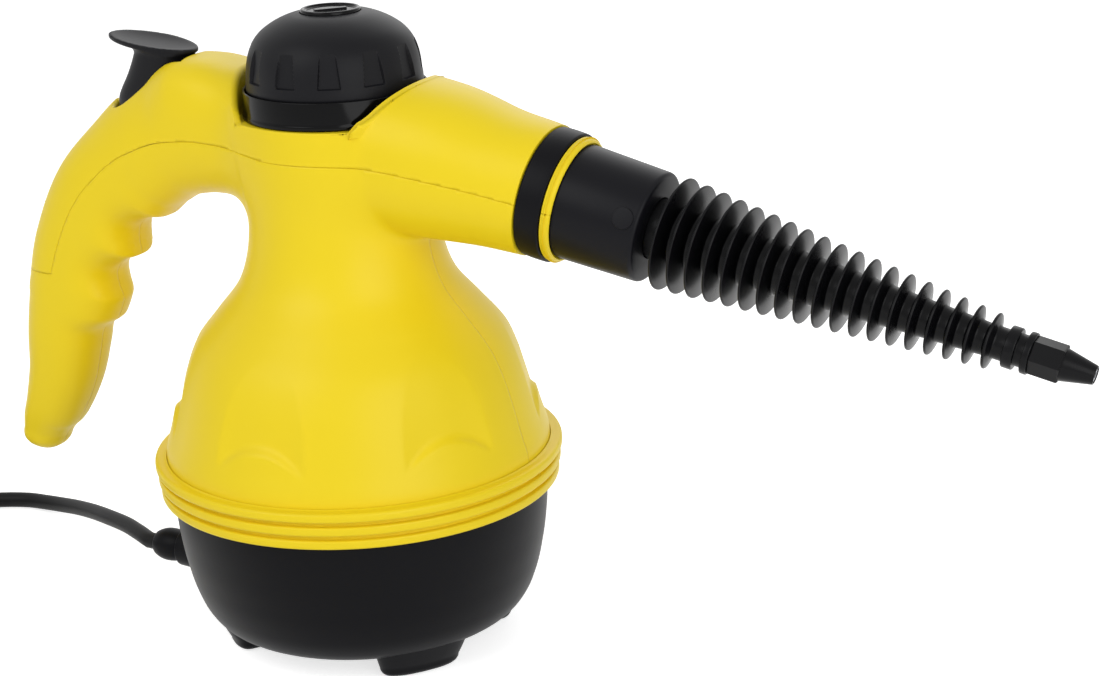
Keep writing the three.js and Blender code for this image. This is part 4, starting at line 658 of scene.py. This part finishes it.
def kept(points, threes, measure):
    # what lies on the positive side, with its cut edge moved exactly onto the line
    points, threes = split(points, threes, measure(points))
    middle = points[threes].mean(axis=1)
    points, (threes,) = compact(points, [threes[measure(middle) > 0]])
    return points, threes


def seamRows():
    # the centre line moved sideways by the seam's rise, with straight ends
    first = np.searchsorted(spineArc, h["seamStart"] * spineArc[-1])
    turn = np.gradient(spine[:, :2], axis=0)
    turn /= np.linalg.norm(turn, axis=1, keepdims=True)
    rise = h["neck"] * hermite(h["seam"], spineArc[first:] / spineArc[-1])[:, None]
    line = spine[first:, :2] + rise * np.stack([-turn[first:, 1], turn[first:, 0]], 1)
    start = line[0] + (-200, 0)
    end = line[-1] + 60 * turn[-1]
    return np.vstack([start, line, end])


seam = seamRows()


def seamDistance(points):
    # signed way to the seam in the XZ plane, positive above it
    step = np.diff(seam, axis=0)
    long = np.linalg.norm(step, axis=1)
    way = step / long[:, None]
    dx, dz = points[:, None, 0] - seam[:-1, 0], points[:, None, 2] - seam[:-1, 1]
    kept = np.clip(dx * way[:, 0] + dz * way[:, 1], 0, long)
    ox, oz = dx - kept * way[:, 0], dz - kept * way[:, 1]
    far = np.hypot(ox, oz)
    i = np.argmin(far, axis=1)
    row = np.arange(len(points))
    sign = np.sign(way[i, 0] * oz[row, i] - way[i, 1] * ox[row, i])
    return sign * far[row, i]


def neckDistance(points):
    # positive behind the neck's end, and everywhere low down, where the plane would meet the bell
    behind = -h["cutBack"] - (points - nozzleStart) @ nozzleAlong
    return np.maximum(behind, h["neckAbove"] - points[:, 2])


def footDistance(points):
    # positive above the bell's foot, and everywhere out at the handle, which reaches lower
    away = np.hypot(points[:, 0], points[:, 1]) - h["handleBeyond"]
    return np.maximum(points[:, 2] - h["foot"], away)


def rimSize(points):
    # how far the recess's rim is rounded: soft towards the handle, crisp towards the nozzle
    return h["rimNozzle"] + (h["rimHandle"] - h["rimNozzle"]) * ease((8 - points[:, 0]) / 30)


def recessDistance(points):
    # positive outside an upright cylinder that stands on the recess's floor
    away = np.hypot(points[:, 0] - h["recessX"], points[:, 1]) - h["recessRadius"] - rimSize(points)
    return np.maximum(away, h["recessFloor"] - h["rimDrop"] - points[:, 2])


def slotDistance(points):
    # straight sides, a square front end and an oval rear end, like the blade's
    x, y, z = points.T
    rear = np.clip((h["slotBend"] - x) / (h["slotBend"] - h["slotRear"]), 0, None)
    n = h["slotPower"]
    oval = (rear**n + np.abs(y / h["slotHalf"]) ** n) ** (1 / n)
    return np.maximum(np.maximum((oval - 1) * h["slotHalf"], x - h["slotFront"]), h["slotBase"] - z)


def edgeRing(points, threes, near):
    # corners of edges that only one triangle has, where near is true
    pairs = np.sort(np.concatenate([threes[:, k] for k in ([0, 1], [1, 2], [2, 0])]), axis=1)
    unique, count = np.unique(pairs, axis=0, return_counts=True)
    rim = np.unique(unique[count == 1])
    return rim[near(points[rim])]


def strip(points, threes, ring, rows, closed):
    # rows of new corners joined on to the ring of old ones, quads between neighbours
    new = np.concatenate(rows)
    index = np.vstack([ring, len(points) + np.arange(len(new)).reshape(len(rows), -1)])
    here, down = index[:-1], index[1:]
    if closed:
        a, b = np.roll(here, -1, 1), np.roll(down, -1, 1)
    else:
        here, down, a, b = here[:, :-1], down[:, :-1], here[:, 1:], down[:, 1:]
    quads = np.stack([here, a, b, down], -1).reshape(-1, 4)
    return np.vstack([points, new]), quads


def makeHousing():
    # the net of the housing's distance on a grid, slid on to its zero
    cell = h["cell"]
    low, size = np.array(h["gridFrom"]), np.array(h["gridSize"]) // cell
    axes = [low[k] + cell * np.arange(int(size[k])) for k in range(3)]
    gx, gz = np.meshgrid(axes[0], axes[2], indexing="ij")
    facts = [f.reshape(gx.shape)[:, None, :] for f in crossFacts(gx.ravel(), gz.ravel())]
    x, y, z = axes[0][:, None, None], axes[1][None, :, None], axes[2][None, None, :]
    value = housingFrom(facts, x, y, z)
    points, quads = netSurface(value, low, cell)
    points = slid(points, housingDistance, cell)
    return points, threesOf(points, quads)


skin = makeHousing()
print(f"housing skin: {len(skin[1])} triangles")
skin = kept(*kept(*skin, neckDistance), footDistance)


def withSpout(points, threes):
    # the neck's end goes on into the groove of the ring and the lip, round the nozzle's axis
    ring = edgeRing(points, threes, lambda p: np.abs(neckDistance(p)) < 1e-3)
    offset = points[ring] - nozzleStart
    angle = np.arctan2(offset @ nozzleSide, offset @ nozzleUp)
    above = np.median(seamDistance(points[ring])) > 0
    order = np.argsort(angle if above else np.where(angle < 0, angle + 2 * np.pi, angle))
    ring, angle = ring[order], angle[order]
    around = np.cos(angle)[:, None] * nozzleUp + np.sin(angle)[:, None] * nozzleSide
    rows = [nozzleStart + r * around + s * nozzleAlong for r, s in h["spout"]]
    points, quads = strip(points, threes, ring, rows, closed=False)
    return points, threes, quads


def withRecess(points, threes):
    # rounded rim, wall, floor and hole, from each corner of the cut edge towards the boiler's axis
    ring = edgeRing(points, threes, lambda p: np.abs(recessDistance(p)) < 1e-2)
    off = points[ring] - (h["recessX"], 0, 0)
    angle = np.arctan2(off[:, 1], off[:, 0])
    order = np.argsort(angle)
    ring, angle, off = ring[order], angle[order], off[order]
    r, z = np.hypot(off[:, 0], off[:, 1]), off[:, 2]
    floor, fall = h["recessFloor"], z - h["recessFloor"]
    size = np.where(fall > 0, np.minimum(rimSize(points[ring]), np.maximum(fall, 0)), 0)
    lift = np.maximum(-fall, 0)
    rows = []
    for t in np.linspace(0, 1, 7)[1:]:
        a = t * np.pi / 2
        inner = np.where(fall > 0, (r - h["recessRadius"]) * np.sin(a), lift * (1 - np.cos(a)))
        drop = np.where(fall > 0, -size * (1 - np.cos(a)), lift * np.sin(a))
        rows.append((r - inner, z + drop))
    last = rows[-1]
    for t in (0.5, 1):
        rows.append((last[0], last[1] + (floor - last[1]) * t))
    for radius in h["floorRings"]:
        rows.append((np.minimum(last[0], radius), np.full_like(z, floor)))
    made = [spun(q, angle, w) + (h["recessX"], 0, 0) for q, w in rows]
    return strip(points, threes, ring, made, closed=True)


def shell(name, points, faces, stands, crisp=None):
    # an open skin given its wall inwards; edges between crisp corners are shaded sharp
    obj = piece(name, (points, faces), yellow, "housing", stands, angle=40)
    mesh = obj.data
    if crisp is not None:
        ends, flags = np.empty(len(mesh.edges) * 2, int), np.empty(len(mesh.edges), bool)
        mesh.edges.foreach_get("vertices", ends)
        mesh.edges.foreach_get("use_edge_sharp", flags)
        mesh.edges.foreach_set("use_edge_sharp", flags | crisp[ends].reshape(-1, 2).all(axis=1))
    wall = obj.modifiers.new("wall", "SOLIDIFY")
    wall.thickness, wall.offset = h["wall"] * 0.001, -1


half = h["parting"] / 2


def seamHalf(p):
    # half the seam's gap, which closes down the back of the handle
    closing = ease((128 - p[:, 2]) / 14) * ease((-100 - p[:, 0]) / 8)
    return half - (half - h["seamClosed"]) * closing


cover = kept(*skin, lambda p: seamDistance(p) - seamHalf(p))
cover = kept(*kept(*cover, recessDistance), slotDistance)
coverPoints, coverQuads = withRecess(*cover)
coverPoints, coverThrees, spoutQuads = withSpout(coverPoints, cover[1])
onRim = (np.abs(recessDistance(coverPoints)) < 1e-2) & (coverPoints[:, 0] > h["rimCrispFrom"])
shell("top_cover_shell", coverPoints, [coverThrees, coverQuads, spoutQuads], ["top_cover"], onRim)
under = kept(*skin, lambda p: -seamDistance(p) - seamHalf(p))
for name, side in (("housing_right", -1), ("housing_left", 1)):
    own = kept(*under, lambda p: side * p[:, 1] - half)
    ownPoints, ownThrees, ownQuads = withSpout(*own)
    shell(name + "_shell", ownPoints, [ownThrees, ownQuads], [name])
print("housing shells made")


# Ribbed band: three ribs, each a little wider than the one below

band = {
    "radius": 72, "foot": 57.3, "rib": 3.15, "gap": 1.8, "step": 0.7, "inset": 2.6, "seat": 68,
    "inside": [
        (68, 65.7, 0), (55.5, 65.7, 0.5), (55.5, 64, 0), (53, 64, 0.5), (53, 61, 0.5), (66, 61, 0),
        (66.5, 57.3, 0.3),
    ],
}
b = band
bandTop = b["foot"] + 3 * b["rib"] + 2 * b["gap"]
bandCorners = []
for i in range(3):
    low, radius = b["foot"] + i * (b["rib"] + b["gap"]), b["radius"] - (2 - i) * b["step"]
    if i:
        bandCorners.append((radius - b["inset"], low, 0.25))
    bandCorners += [(radius, low, 0.9), (radius, low + b["rib"], 0.9 if i < 2 else 1.3)]
    if i < 2:
        bandCorners.append((radius - b["inset"] + b["step"], low + b["rib"], 0.25))
bandCorners += [
    (b["seat"] + 0.9, bandTop + 0.1, 0.8), (b["seat"] + 0.1, bandTop + 0.5, 0.3),
    (b["seat"] - 0.1, bandTop + 0.4, 0.1), *b["inside"],
]
bandSurface = turned(rounded(bandCorners), 256)
piece("band_ribs", bandSurface, yellow, "housing", ["ribbed_band"], angle=50)
print("band made")


# Base bowl with its feet and the cord's boss

base = {
    "bowl": [
        (0, 7, 0), (45, 7, 8), (54, 9.4, 5), (59, 15.6, 4), (62.3, 24.8, 4), (64.7, 36.5, 4),
        (66.0, 47.5, 4), (66.3, 57.0, 0.5), (63.8, 57.0, 0.3), (63.5, 47.5, 4), (62.2, 36.5, 4),
        (59.8, 24.8, 4), (56.5, 17.2, 4), (52, 11.8, 4), (45, 9.5, 5), (0, 9.5, 0),
    ],
    "foot": {
        "turn": 38, "half": 18, "inner": 37, "outer": 51.4, "round": 3.4, "top": 19, "flare": 7.6,
        "power": 0.95, "spread": 4,
    },
    "exit": (0, 0, 17.5),
    "boss": [(4.3, 56, 0), (9, 56, 0), (7.1, 79.5, 2), (7.0, 80.5, 0.7), (4.3, 80.5, 0.3)],
    "gland": [
        (0, 54.5, 0), (4, 54.5, 0.5), (4, 80.8, 0), (5.2, 80.8, 0.6), (6.2, 84, 2.5),
        (6.2, 88.5, 2.5), (4.6, 92.2, 1.2), (3.4, 92.5, 0.3), (0, 92.5, 0),
    ],
}
bowlSurface = turned(rounded(base["bowl"], 6), 200)


def footSurface(c, turn):
    # a rounded arc-shaped pad: each row is a squared-off oval in angle and radius, wider upwards
    a = np.linspace(0, np.pi / 2, 6)
    rounding = np.stack([c["round"] * (1 - np.cos(a)), c["round"] * (np.sin(a) - 1)], -1)
    z = np.linspace(c["round"], c["top"], 12)[1:]
    rows = np.vstack([rounding, np.stack([z, 0 * z], -1)])
    flare = ((rows[:, :1] - c["round"]).clip(0) / (c["top"] - c["round"])) ** c["power"]
    middle, wide = (c["inner"] + c["outer"]) / 2, (c["outer"] - c["inner"]) / 2
    t = np.linspace(0, 2 * np.pi, 48, endpoint=False)
    along, across = [np.sign(w) * np.abs(w) ** 0.5 for w in (np.cos(t), np.sin(t))]
    out = flare * c["flare"] / 2
    radius = middle + out + (wide + out + rows[:, 1:]) * across
    half = c["half"] + np.degrees(rows[:, 1:] / middle) + flare * c["spread"]
    angle = np.radians(turn + half * along)
    grid = spun(radius, angle, rows[:, :1])
    poles = grid[[0, -1]].mean(axis=1, keepdims=True) + 0 * grid[[0, -1]]
    return outwards(gridSurface(np.concatenate([poles[:1], grid, poles[1:]])))


turn = base["foot"]["turn"]
feet = [footSurface(base["foot"], t) for t in (turn, 180 - turn, 180 + turn, -turn)]
toRear = np.array([(0, 0, 1.0), (0, 1.0, 0), (-1.0, 0, 0)])
bossSurface = laid(turned(rounded(base["boss"]), 64), toRear, base["exit"])
baseSurface = together(bowlSurface, *feet, bossSurface)
piece("base_bowl", baseSurface, satinBlack, "housing", ["base_shell"])
glandSurface = laid(turned(rounded(base["gland"]), 48), toRear, base["exit"])
piece("gland_bulb", glandSurface, satinBlack, "housing", ["cord_gland"])
print("base made")


# Collar and cap

collar = [
    (14.2, 189.3, 0.2), (32, 189.3, 0.3), (32, 190.5, 0.5), (31.8, 191, 0.6), (31.5, 198.6, 0.3),
    (30.7, 198.6, 0.3), (30.6, 191.2, 0.8), (14.2, 190.9, 0.3),
]
collarSurface = turned(rounded(collar), 160)
piece("collar_ring", collarSurface, glossBlack, "housing", ["filler_collar"])

cap = {
    "outer": [
        (197.8, 29.7), (198.3, 30.05), (200.0, 30.15), (202.2, 30.0), (207.0, 29.5), (211.0, 28.55),
        (214.0, 27.2), (217.0, 24.9), (219.5, 21.7), (221.6, 17.8), (223.0, 13.9), (223.6, 10.7),
    ],
    "panels": 12, "half": 7.3, "turn": -2.0, "flat": 28.9, "lean": 0.14, "low": 202.4, "high": 215,
    "ledge": 0.35, "taper": 0.3, "soft": 0.4,
    "rows": [(202.1, 12), (203, 9), (216, 60)], "topRows": 30,  # height reached, number of rows
    "inner": [
        (10.5, 223.6), (10.5, 222.4), (0, 222.4), (0, 220.9), (13.5, 220.5), (19.6, 218),
        (24.6, 213), (27.4, 206), (27.6, 198.2), (28.2, 197.8),
    ],
}


def capSurface(c):
    # radius from the height, or the leaning panel's flat where that is nearer to the axis
    pitch, wide = 360 / c["panels"], c["half"] + 0.6
    own = np.concatenate([
        np.linspace(-pitch / 2, -wide, 5)[:-1], np.linspace(-wide, wide, 61)[:-1],
        np.linspace(wide, pitch / 2, 5)[:-1],
    ])
    local = np.tile(own, c["panels"])
    angle = np.radians(local + np.repeat(np.arange(c["panels"]) * pitch + c["turn"], len(own)))
    outer = np.asarray(c["outer"])
    low, high = outer[0, 0], outer[-1, 0]
    ends = [low] + [row[0] for row in c["rows"]]
    z = [np.linspace(start, *row)[:-1] for start, row in zip(ends, c["rows"])]
    z = np.concatenate([*z, high - (high - ends[-1]) * np.linspace(1, 0, c["topRows"]) ** 1.6])
    radius = hermite(outer, z)
    rise = np.clip((z - c["low"]) / (c["high"] - c["low"]), 0, 1)
    flat = (c["flat"] - c["lean"] * (z - c["low"]))[:, None] / np.cos(np.radians(local))
    half = c["half"] * (1 - c["taper"] * rise)
    side = ease((half[:, None] - np.abs(local) + c["soft"]) / (2 * c["soft"]))
    window = side * ease((z - c["low"]) / c["ledge"])[:, None]
    r = radius[:, None] - np.maximum(radius[:, None] - flat, 0) * window
    skin = spun(r, angle, z[:, None])
    rows = [spun(q, angle, w) for q, w in c["inner"]]
    return outwards(gridSurface(np.concatenate([skin, np.stack(rows)]), wrapRows=True))


piece("knob_shell", capSurface(cap), capBlack, "knob", ["cap_knob"], angle=32)

disc = {
    "profile": [
        (0, 222.6, 0), (10.2, 222.6, 0.2), (10.2, 224.4, 0.5), (9.8, 224.8, 0.4), (9, 224.8, 0.4),
        (8.5, 224, 0.4), (0, 224, 0),
    ],
    "bar": [(-5.5, 5.5), (-1.1, 1.1), (223.8, 224.6)],
    "barTurn": [(0.707, 0.707, 0), (-0.707, 0.707, 0), (0, 0, 1)],
}
bar = np.stack(np.meshgrid(*disc["bar"], indexing="ij"), -1).reshape(-1, 3) @ disc["barTurn"]
barFaces = [(0, 1, 3, 2), (4, 6, 7, 5), (0, 4, 5, 1), (2, 3, 7, 6), (0, 2, 6, 4), (1, 5, 7, 3)]
barSurface = outwards((bar, [np.array(barFaces)]))
discSurface = together(turned(rounded(disc["profile"]), 96), barSurface)
piece("knob_disc", discSurface, glossBlack, "knob", ["cap_disc"])
print("cap made")


# Nozzle: ring, cup, finned barrel, each with its profile as (radius, way along the axis, rounding)


def onNozzle(surface):
    # Z laid along the nozzle's axis
    return laid(surface, nozzleFrame, nozzleStart)


ringProfile = [(20.2, 0, 0.2), (22.0, 0, 0.7), (22.2, 4.4, 4), (22.0, 8.8, 0.7), (20.2, 8.8, 0.2)]
ringSurface = onNozzle(turned(rounded(ringProfile), 160))
piece("neck_band", ringSurface, satinBlack, "housing", ["neck_ring"])
cup = [
    (17.6, 11.8, 0.2), (19.4, 11.8, 0.4), (18.5, 40.9, 1.6), (10.3, 41, 0.3), (10.3, 38.5, 0.2),
    (16.7, 38.5, 1),
]
mark = {"along": 35.6, "turn": 70, "radius": 3.6, "seat": 17.8, "face": 18.95}
markAngle = math.radians(mark["turn"])
markOut = math.cos(markAngle) * nozzleUp + math.sin(markAngle) * nozzleSide
markFrame = np.array([nozzleAlong, np.cross(markOut, nozzleAlong), markOut])
markProfile = rounded([
    (0, mark["seat"], 0), (mark["radius"], mark["seat"], 0.1), (mark["radius"], mark["face"], 0.3),
    (0, mark["face"], 0),
])
markSurface = laid(turned(markProfile, 64), markFrame, nozzleStart + mark["along"] * nozzleAlong)
cupSurface = together(onNozzle(turned(rounded(cup), 160)), markSurface)
piece("cup_shell", cupSurface, cupBlack, "nozzle", ["nozzle_cup"])

fins = {
    "count": 19, "first": 47.5, "pitch": 6, "radius": (18.8, 9.0), "core": (9.6, 5.2),
    "rim": 0.42, "root": 1.3,
    "shank": [
        (10.2, 11.5, 0.2), (13.6, 11.5, 0.3), (13.6, 38.2, 0.3), (10, 38.2, 0.3), (10, 41.3, 0.3),
    ],
    "collars": [
        (5.2, 160.4, 0.3), (6.7, 160.4, 0.5), (6.7, 163.9, 0.5), (5.2, 163.9, 0.3),
        (5.2, 166.4, 0.3), (6.7, 166.4, 0.5), (6.7, 168.6, 0.5), (5.2, 168.6, 0.3),
    ],
    "cone": [
        (5.2, 178.6, 0.6), (3.0, 188.6, 0.5), (2.4, 188.6, 0.2), (2.4, 182.6, 0), (1.5, 182.6, 0),
        (1.5, 28, 0), (10.2, 28, 0),
    ],
    "nut": (6.2, 168.4, 178.4, 0.4),
}


def barrelProfile(f):
    # fin after fin on a core, both shrinking along the axis, then collars and a plain cone
    last = f["first"] + (f["count"] - 1) * f["pitch"]
    s = f["first"] + f["pitch"] * np.arange(f["count"])
    share = (s - f["first"]) / (last - f["first"])
    tip = f["radius"][0] + share * (f["radius"][1] - f["radius"][0])
    core = f["core"][0] + share * (f["core"][1] - f["core"][0])
    rows = [
        (core, s - f["root"], 0 * s + 0.8), (tip, s - f["rim"], 0 * s + 0.6),
        (tip, s + f["rim"], 0 * s + 0.6), (core, s + f["root"], 0 * s + 0.8),
    ]
    fin = np.stack([np.stack(row, -1) for row in rows], 1).reshape(-1, 3)
    return rounded(np.vstack([f["shank"], fin, f["collars"], f["cone"]]), 4)


hexAngle = np.radians(np.arange(6) * 60 + 30)


def hexSurface(radius, low, high, bevel):
    # six flats with a small bevel at both ends
    inner = radius - bevel
    rows = [(0, low), (inner, low), (radius, low + bevel)]
    rows += [(radius, high - bevel), (inner, high), (0, high)]
    return outwards(gridSurface(np.stack([spun(r, hexAngle, z) for r, z in rows])))


finSurface, nutSurface = turned(barrelProfile(fins), 112), hexSurface(*fins["nut"])
barrelSurface = together(onNozzle(finSurface), onNozzle(nutSurface))
piece("barrel_fins", barrelSurface, barrelBlack, "nozzle", ["nozzle_barrel"])
print("nozzle made")


# Thumb lever: a dished oval pad melted into a thick blade

lever = {
    "pad": (-73.8, 209.8), "size": (17.7, 10.4), "rim": 1.1, "hang": 3.6, "tilt": 8,
    "taper": 0.92, "hangPower": 1.3, "dish": 36.0, "dishDeep": 1.7, "dishWide": 0.323,
    "rear": [  # the blade's rear and front edge as (height, x)
        (180, -88.9), (189.9, -88.6), (193.5, -87), (197.6, -84.4), (202, -82), (206, -80.2),
        (210, -78.6),
    ],
    "front": [(180, -62), (190, -60.2), (210, -58.5)],
    "bladeHalf": 9.0, "bladeFoot": 181, "bladeBelow": 3.2, "bladePower": 2.4,
    "web": [(-66, 200), (-72, 180.5), (-56.5, 174.3), (-49, 177.5), (-57.6, 200)],
    "webHalf": 6.0,
    "toe": [(-55.3, 162.5), (-50.3, 162.5), (-50.3, 176), (-55.3, 176)],
    "pivot": (-52, 175.5), "eye": 4.5, "bore": 2.3,
    "cell": 0.6, "gridFrom": (-95.0, -12.5, 160.0), "gridSize": (50, 25, 54),
}


def outlineDistance(x, z, outline):
    # distance to the nearest side of a closed outline, below zero inside
    outline = np.asarray(outline, float)
    start, end = outline, np.roll(outline, -1, 0)
    step = end - start
    dx, dz = x[:, None] - start[:, 0], z[:, None] - start[:, 1]
    t = np.clip((dx * step[:, 0] + dz * step[:, 1]) / (step**2).sum(1), 0, 1)
    far = np.hypot(dx - t * step[:, 0], dz - t * step[:, 1]).min(axis=1)
    crosses = (start[:, 1] > z[:, None]) != (end[:, 1] > z[:, None])
    climb = np.where(step[:, 1] == 0, 1e-9, step[:, 1])
    at = start[:, 0] + (z[:, None] - start[:, 1]) * step[:, 0] / climb
    inside = (crosses & (x[:, None] < at)).sum(axis=1) % 2 == 1
    return np.where(inside, -far, far)


def slabDistance(p, outline, half, soft):
    # an outline in the XZ plane, as thick as asked, with soft edges
    return -melted(-outlineDistance(p[:, 0], p[:, 2], outline), half - np.abs(p[:, 1]), soft)


def leverDistance(p):
    # an oval in the tilted pad's own u and w, deeper towards its middle, with a ball's dish cut in,
    # melted with the blade, the web below it, the toe and the pivot's eye
    tilt = math.radians(lever["tilt"])
    dx, dz = p[:, 0] - lever["pad"][0], p[:, 2] - lever["pad"][1]
    u, w = dx * math.cos(tilt) - dz * math.sin(tilt), dx * math.sin(tilt) + dz * math.cos(tilt)
    a, b = lever["size"]
    share = np.hypot((np.abs(u) / a) ** lever["taper"], p[:, 1] / b)
    under = lever["rim"] + lever["hang"] * np.clip(1 - share, 0, 1) ** lever["hangPower"]
    pad = -melted(melted((1 - share) * b, lever["rim"] - w, 0.9), under + w, 0.9)
    lift = w - lever["rim"] - lever["dish"] + lever["dishDeep"]
    ball = np.sqrt(u**2 * lever["dishWide"] + p[:, 1] ** 2 + lift**2)
    pad = -melted(-pad, ball - lever["dish"], 0.7)
    rear, front = [hermite(lever[side], p[:, 2]) for side in ("rear", "front")]
    middle, long, wide = (rear + front) / 2, (front - rear) / 2, lever["bladeHalf"]
    n = lever["bladePower"]
    reach = (np.abs((p[:, 0] - middle) / long) ** n + np.abs(p[:, 1] / wide) ** n) ** (1 / n)
    blade = np.maximum((reach - 1) * wide, w - lever["rim"] + lever["bladeBelow"])
    blade = np.maximum(blade, lever["bladeFoot"] - p[:, 2])
    web = slabDistance(p, lever["web"], lever["webHalf"], 1)
    toe = slabDistance(p, lever["toe"], lever["webHalf"], 1)
    ring = np.hypot(p[:, 0] - lever["pivot"][0], p[:, 2] - lever["pivot"][1])
    eye = -melted(lever["eye"] - ring, lever["webHalf"] - np.abs(p[:, 1]), 0.8)
    body = melted(melted(pad, blade, 2.2), melted(web, melted(toe, eye, 1.5), 1.5), 1.5)
    return np.maximum(body, lever["bore"] - ring)


def makeLever():
    # the net of the lever's distance on a grid, slid on to its zero
    cell, low = lever["cell"], np.array(lever["gridFrom"])
    size = (np.array(lever["gridSize"]) / cell).astype(int)
    axes = [low[k] + cell * np.arange(size[k]) for k in range(3)]
    grid = np.stack(np.meshgrid(*axes, indexing="ij"), -1)
    value = leverDistance(grid.reshape(-1, 3)).reshape(size)
    points, quads = netSurface(value, low, cell)
    return slid(points, leverDistance, cell), [quads]


piece("lever_body", makeLever(), capBlack, "lever", ["thumb_lever"], angle=40)
print("lever made")


# Studio: pale floor, soft light

studio = {
    "floor": 6,
    "floorLook": {"Base Color": (0.86, 0.86, 0.86, 1), "Roughness": 0.9, "Specular IOR Level": 0.1},
    "floorGlow": 0.7,
    "sky": 0.46,
    "lamps": [  # name, place and aim in mm about the boiler's axis, size in metres, power in watts
        ("key", (-350, -900, 900), (0, 0, 120), 0.9, 4.7),
        ("side", (900, -600, 450), (60, 0, 120), 0.9, 4.5),
        ("back", (-200, 800, 700), (0, 0, 120), 0.9, 2),
    ],
}


def whereSeen(tree, unseen, seen):
    # the second shader for rays from the camera, straight, mirrored or through a piece
    rays = tree.nodes.new("ShaderNodeLightPath")
    total = rays.outputs["Is Camera Ray"]
    for kind in ("Is Glossy Ray", "Is Transmission Ray"):
        more = tree.nodes.new("ShaderNodeMath")
        more.operation = "MAXIMUM"
        tree.links.new(total, more.inputs[0])
        tree.links.new(rays.outputs[kind], more.inputs[1])
        total = more.outputs[0]
    pick = tree.nodes.new("ShaderNodeMixShader")
    for source, socket in zip((total, unseen.outputs[0], seen.outputs[0]), pick.inputs):
        tree.links.new(source, socket)
    return pick.outputs[0]


reach = studio["floor"]
floorMesh = bpy.data.meshes.new("floor")
floorCorners = [(-reach, -reach, 0), (reach, -reach, 0), (reach, reach, 0), (-reach, reach, 0)]
floorMesh.from_pydata(floorCorners, [], [(0, 1, 2, 3)])
floor = placed("floor", floorMesh)
floorLook = bpy.data.materials.new("paleFloor")
floorLook.use_nodes = True
tree = floorLook.node_tree
floorShader = tree.nodes["Principled BSDF"]
for socket, value in studio["floorLook"].items():
    floorShader.inputs[socket].default_value = value
blank, glow = [tree.nodes.new("ShaderNodeEmission") for _ in range(2)]
blank.inputs["Strength"].default_value = 0
glow.inputs["Strength"].default_value = studio["floorGlow"]
total = tree.nodes.new("ShaderNodeAddShader")
tree.links.new(floorShader.outputs[0], total.inputs[0])
tree.links.new(whereSeen(tree, blank, glow), total.inputs[1])
tree.links.new(total.outputs[0], tree.nodes["Material Output"].inputs["Surface"])
floorMesh.materials.append(floorLook)

world = bpy.data.worlds.new("studio")
bpy.context.scene.world = world
world.use_nodes = True
tree = world.node_tree
sky, seenSky = tree.nodes["Background"], tree.nodes.new("ShaderNodeBackground")
sky.inputs["Color"].default_value = seenSky.inputs["Color"].default_value = (1, 1, 1, 1)
sky.inputs["Strength"].default_value = studio["sky"]
tree.links.new(whereSeen(tree, sky, seenSky), tree.nodes["World Output"].inputs["Surface"])

for name, place, aim, size, power in studio["lamps"]:
    lamp = bpy.data.lights.new(name, "AREA")
    lamp.shape, lamp.size, lamp.energy = "DISK", size, power
    back = toFrame(place) - toFrame(aim)
    back /= np.linalg.norm(back)
    side = np.cross((0, 0, 1), back)
    side /= np.linalg.norm(side)
    placed(name, lamp).matrix_world = aimed(place, side, np.cross(back, side), back)
bpy.context.scene.view_settings.view_transform = "Standard"
print("studio set")
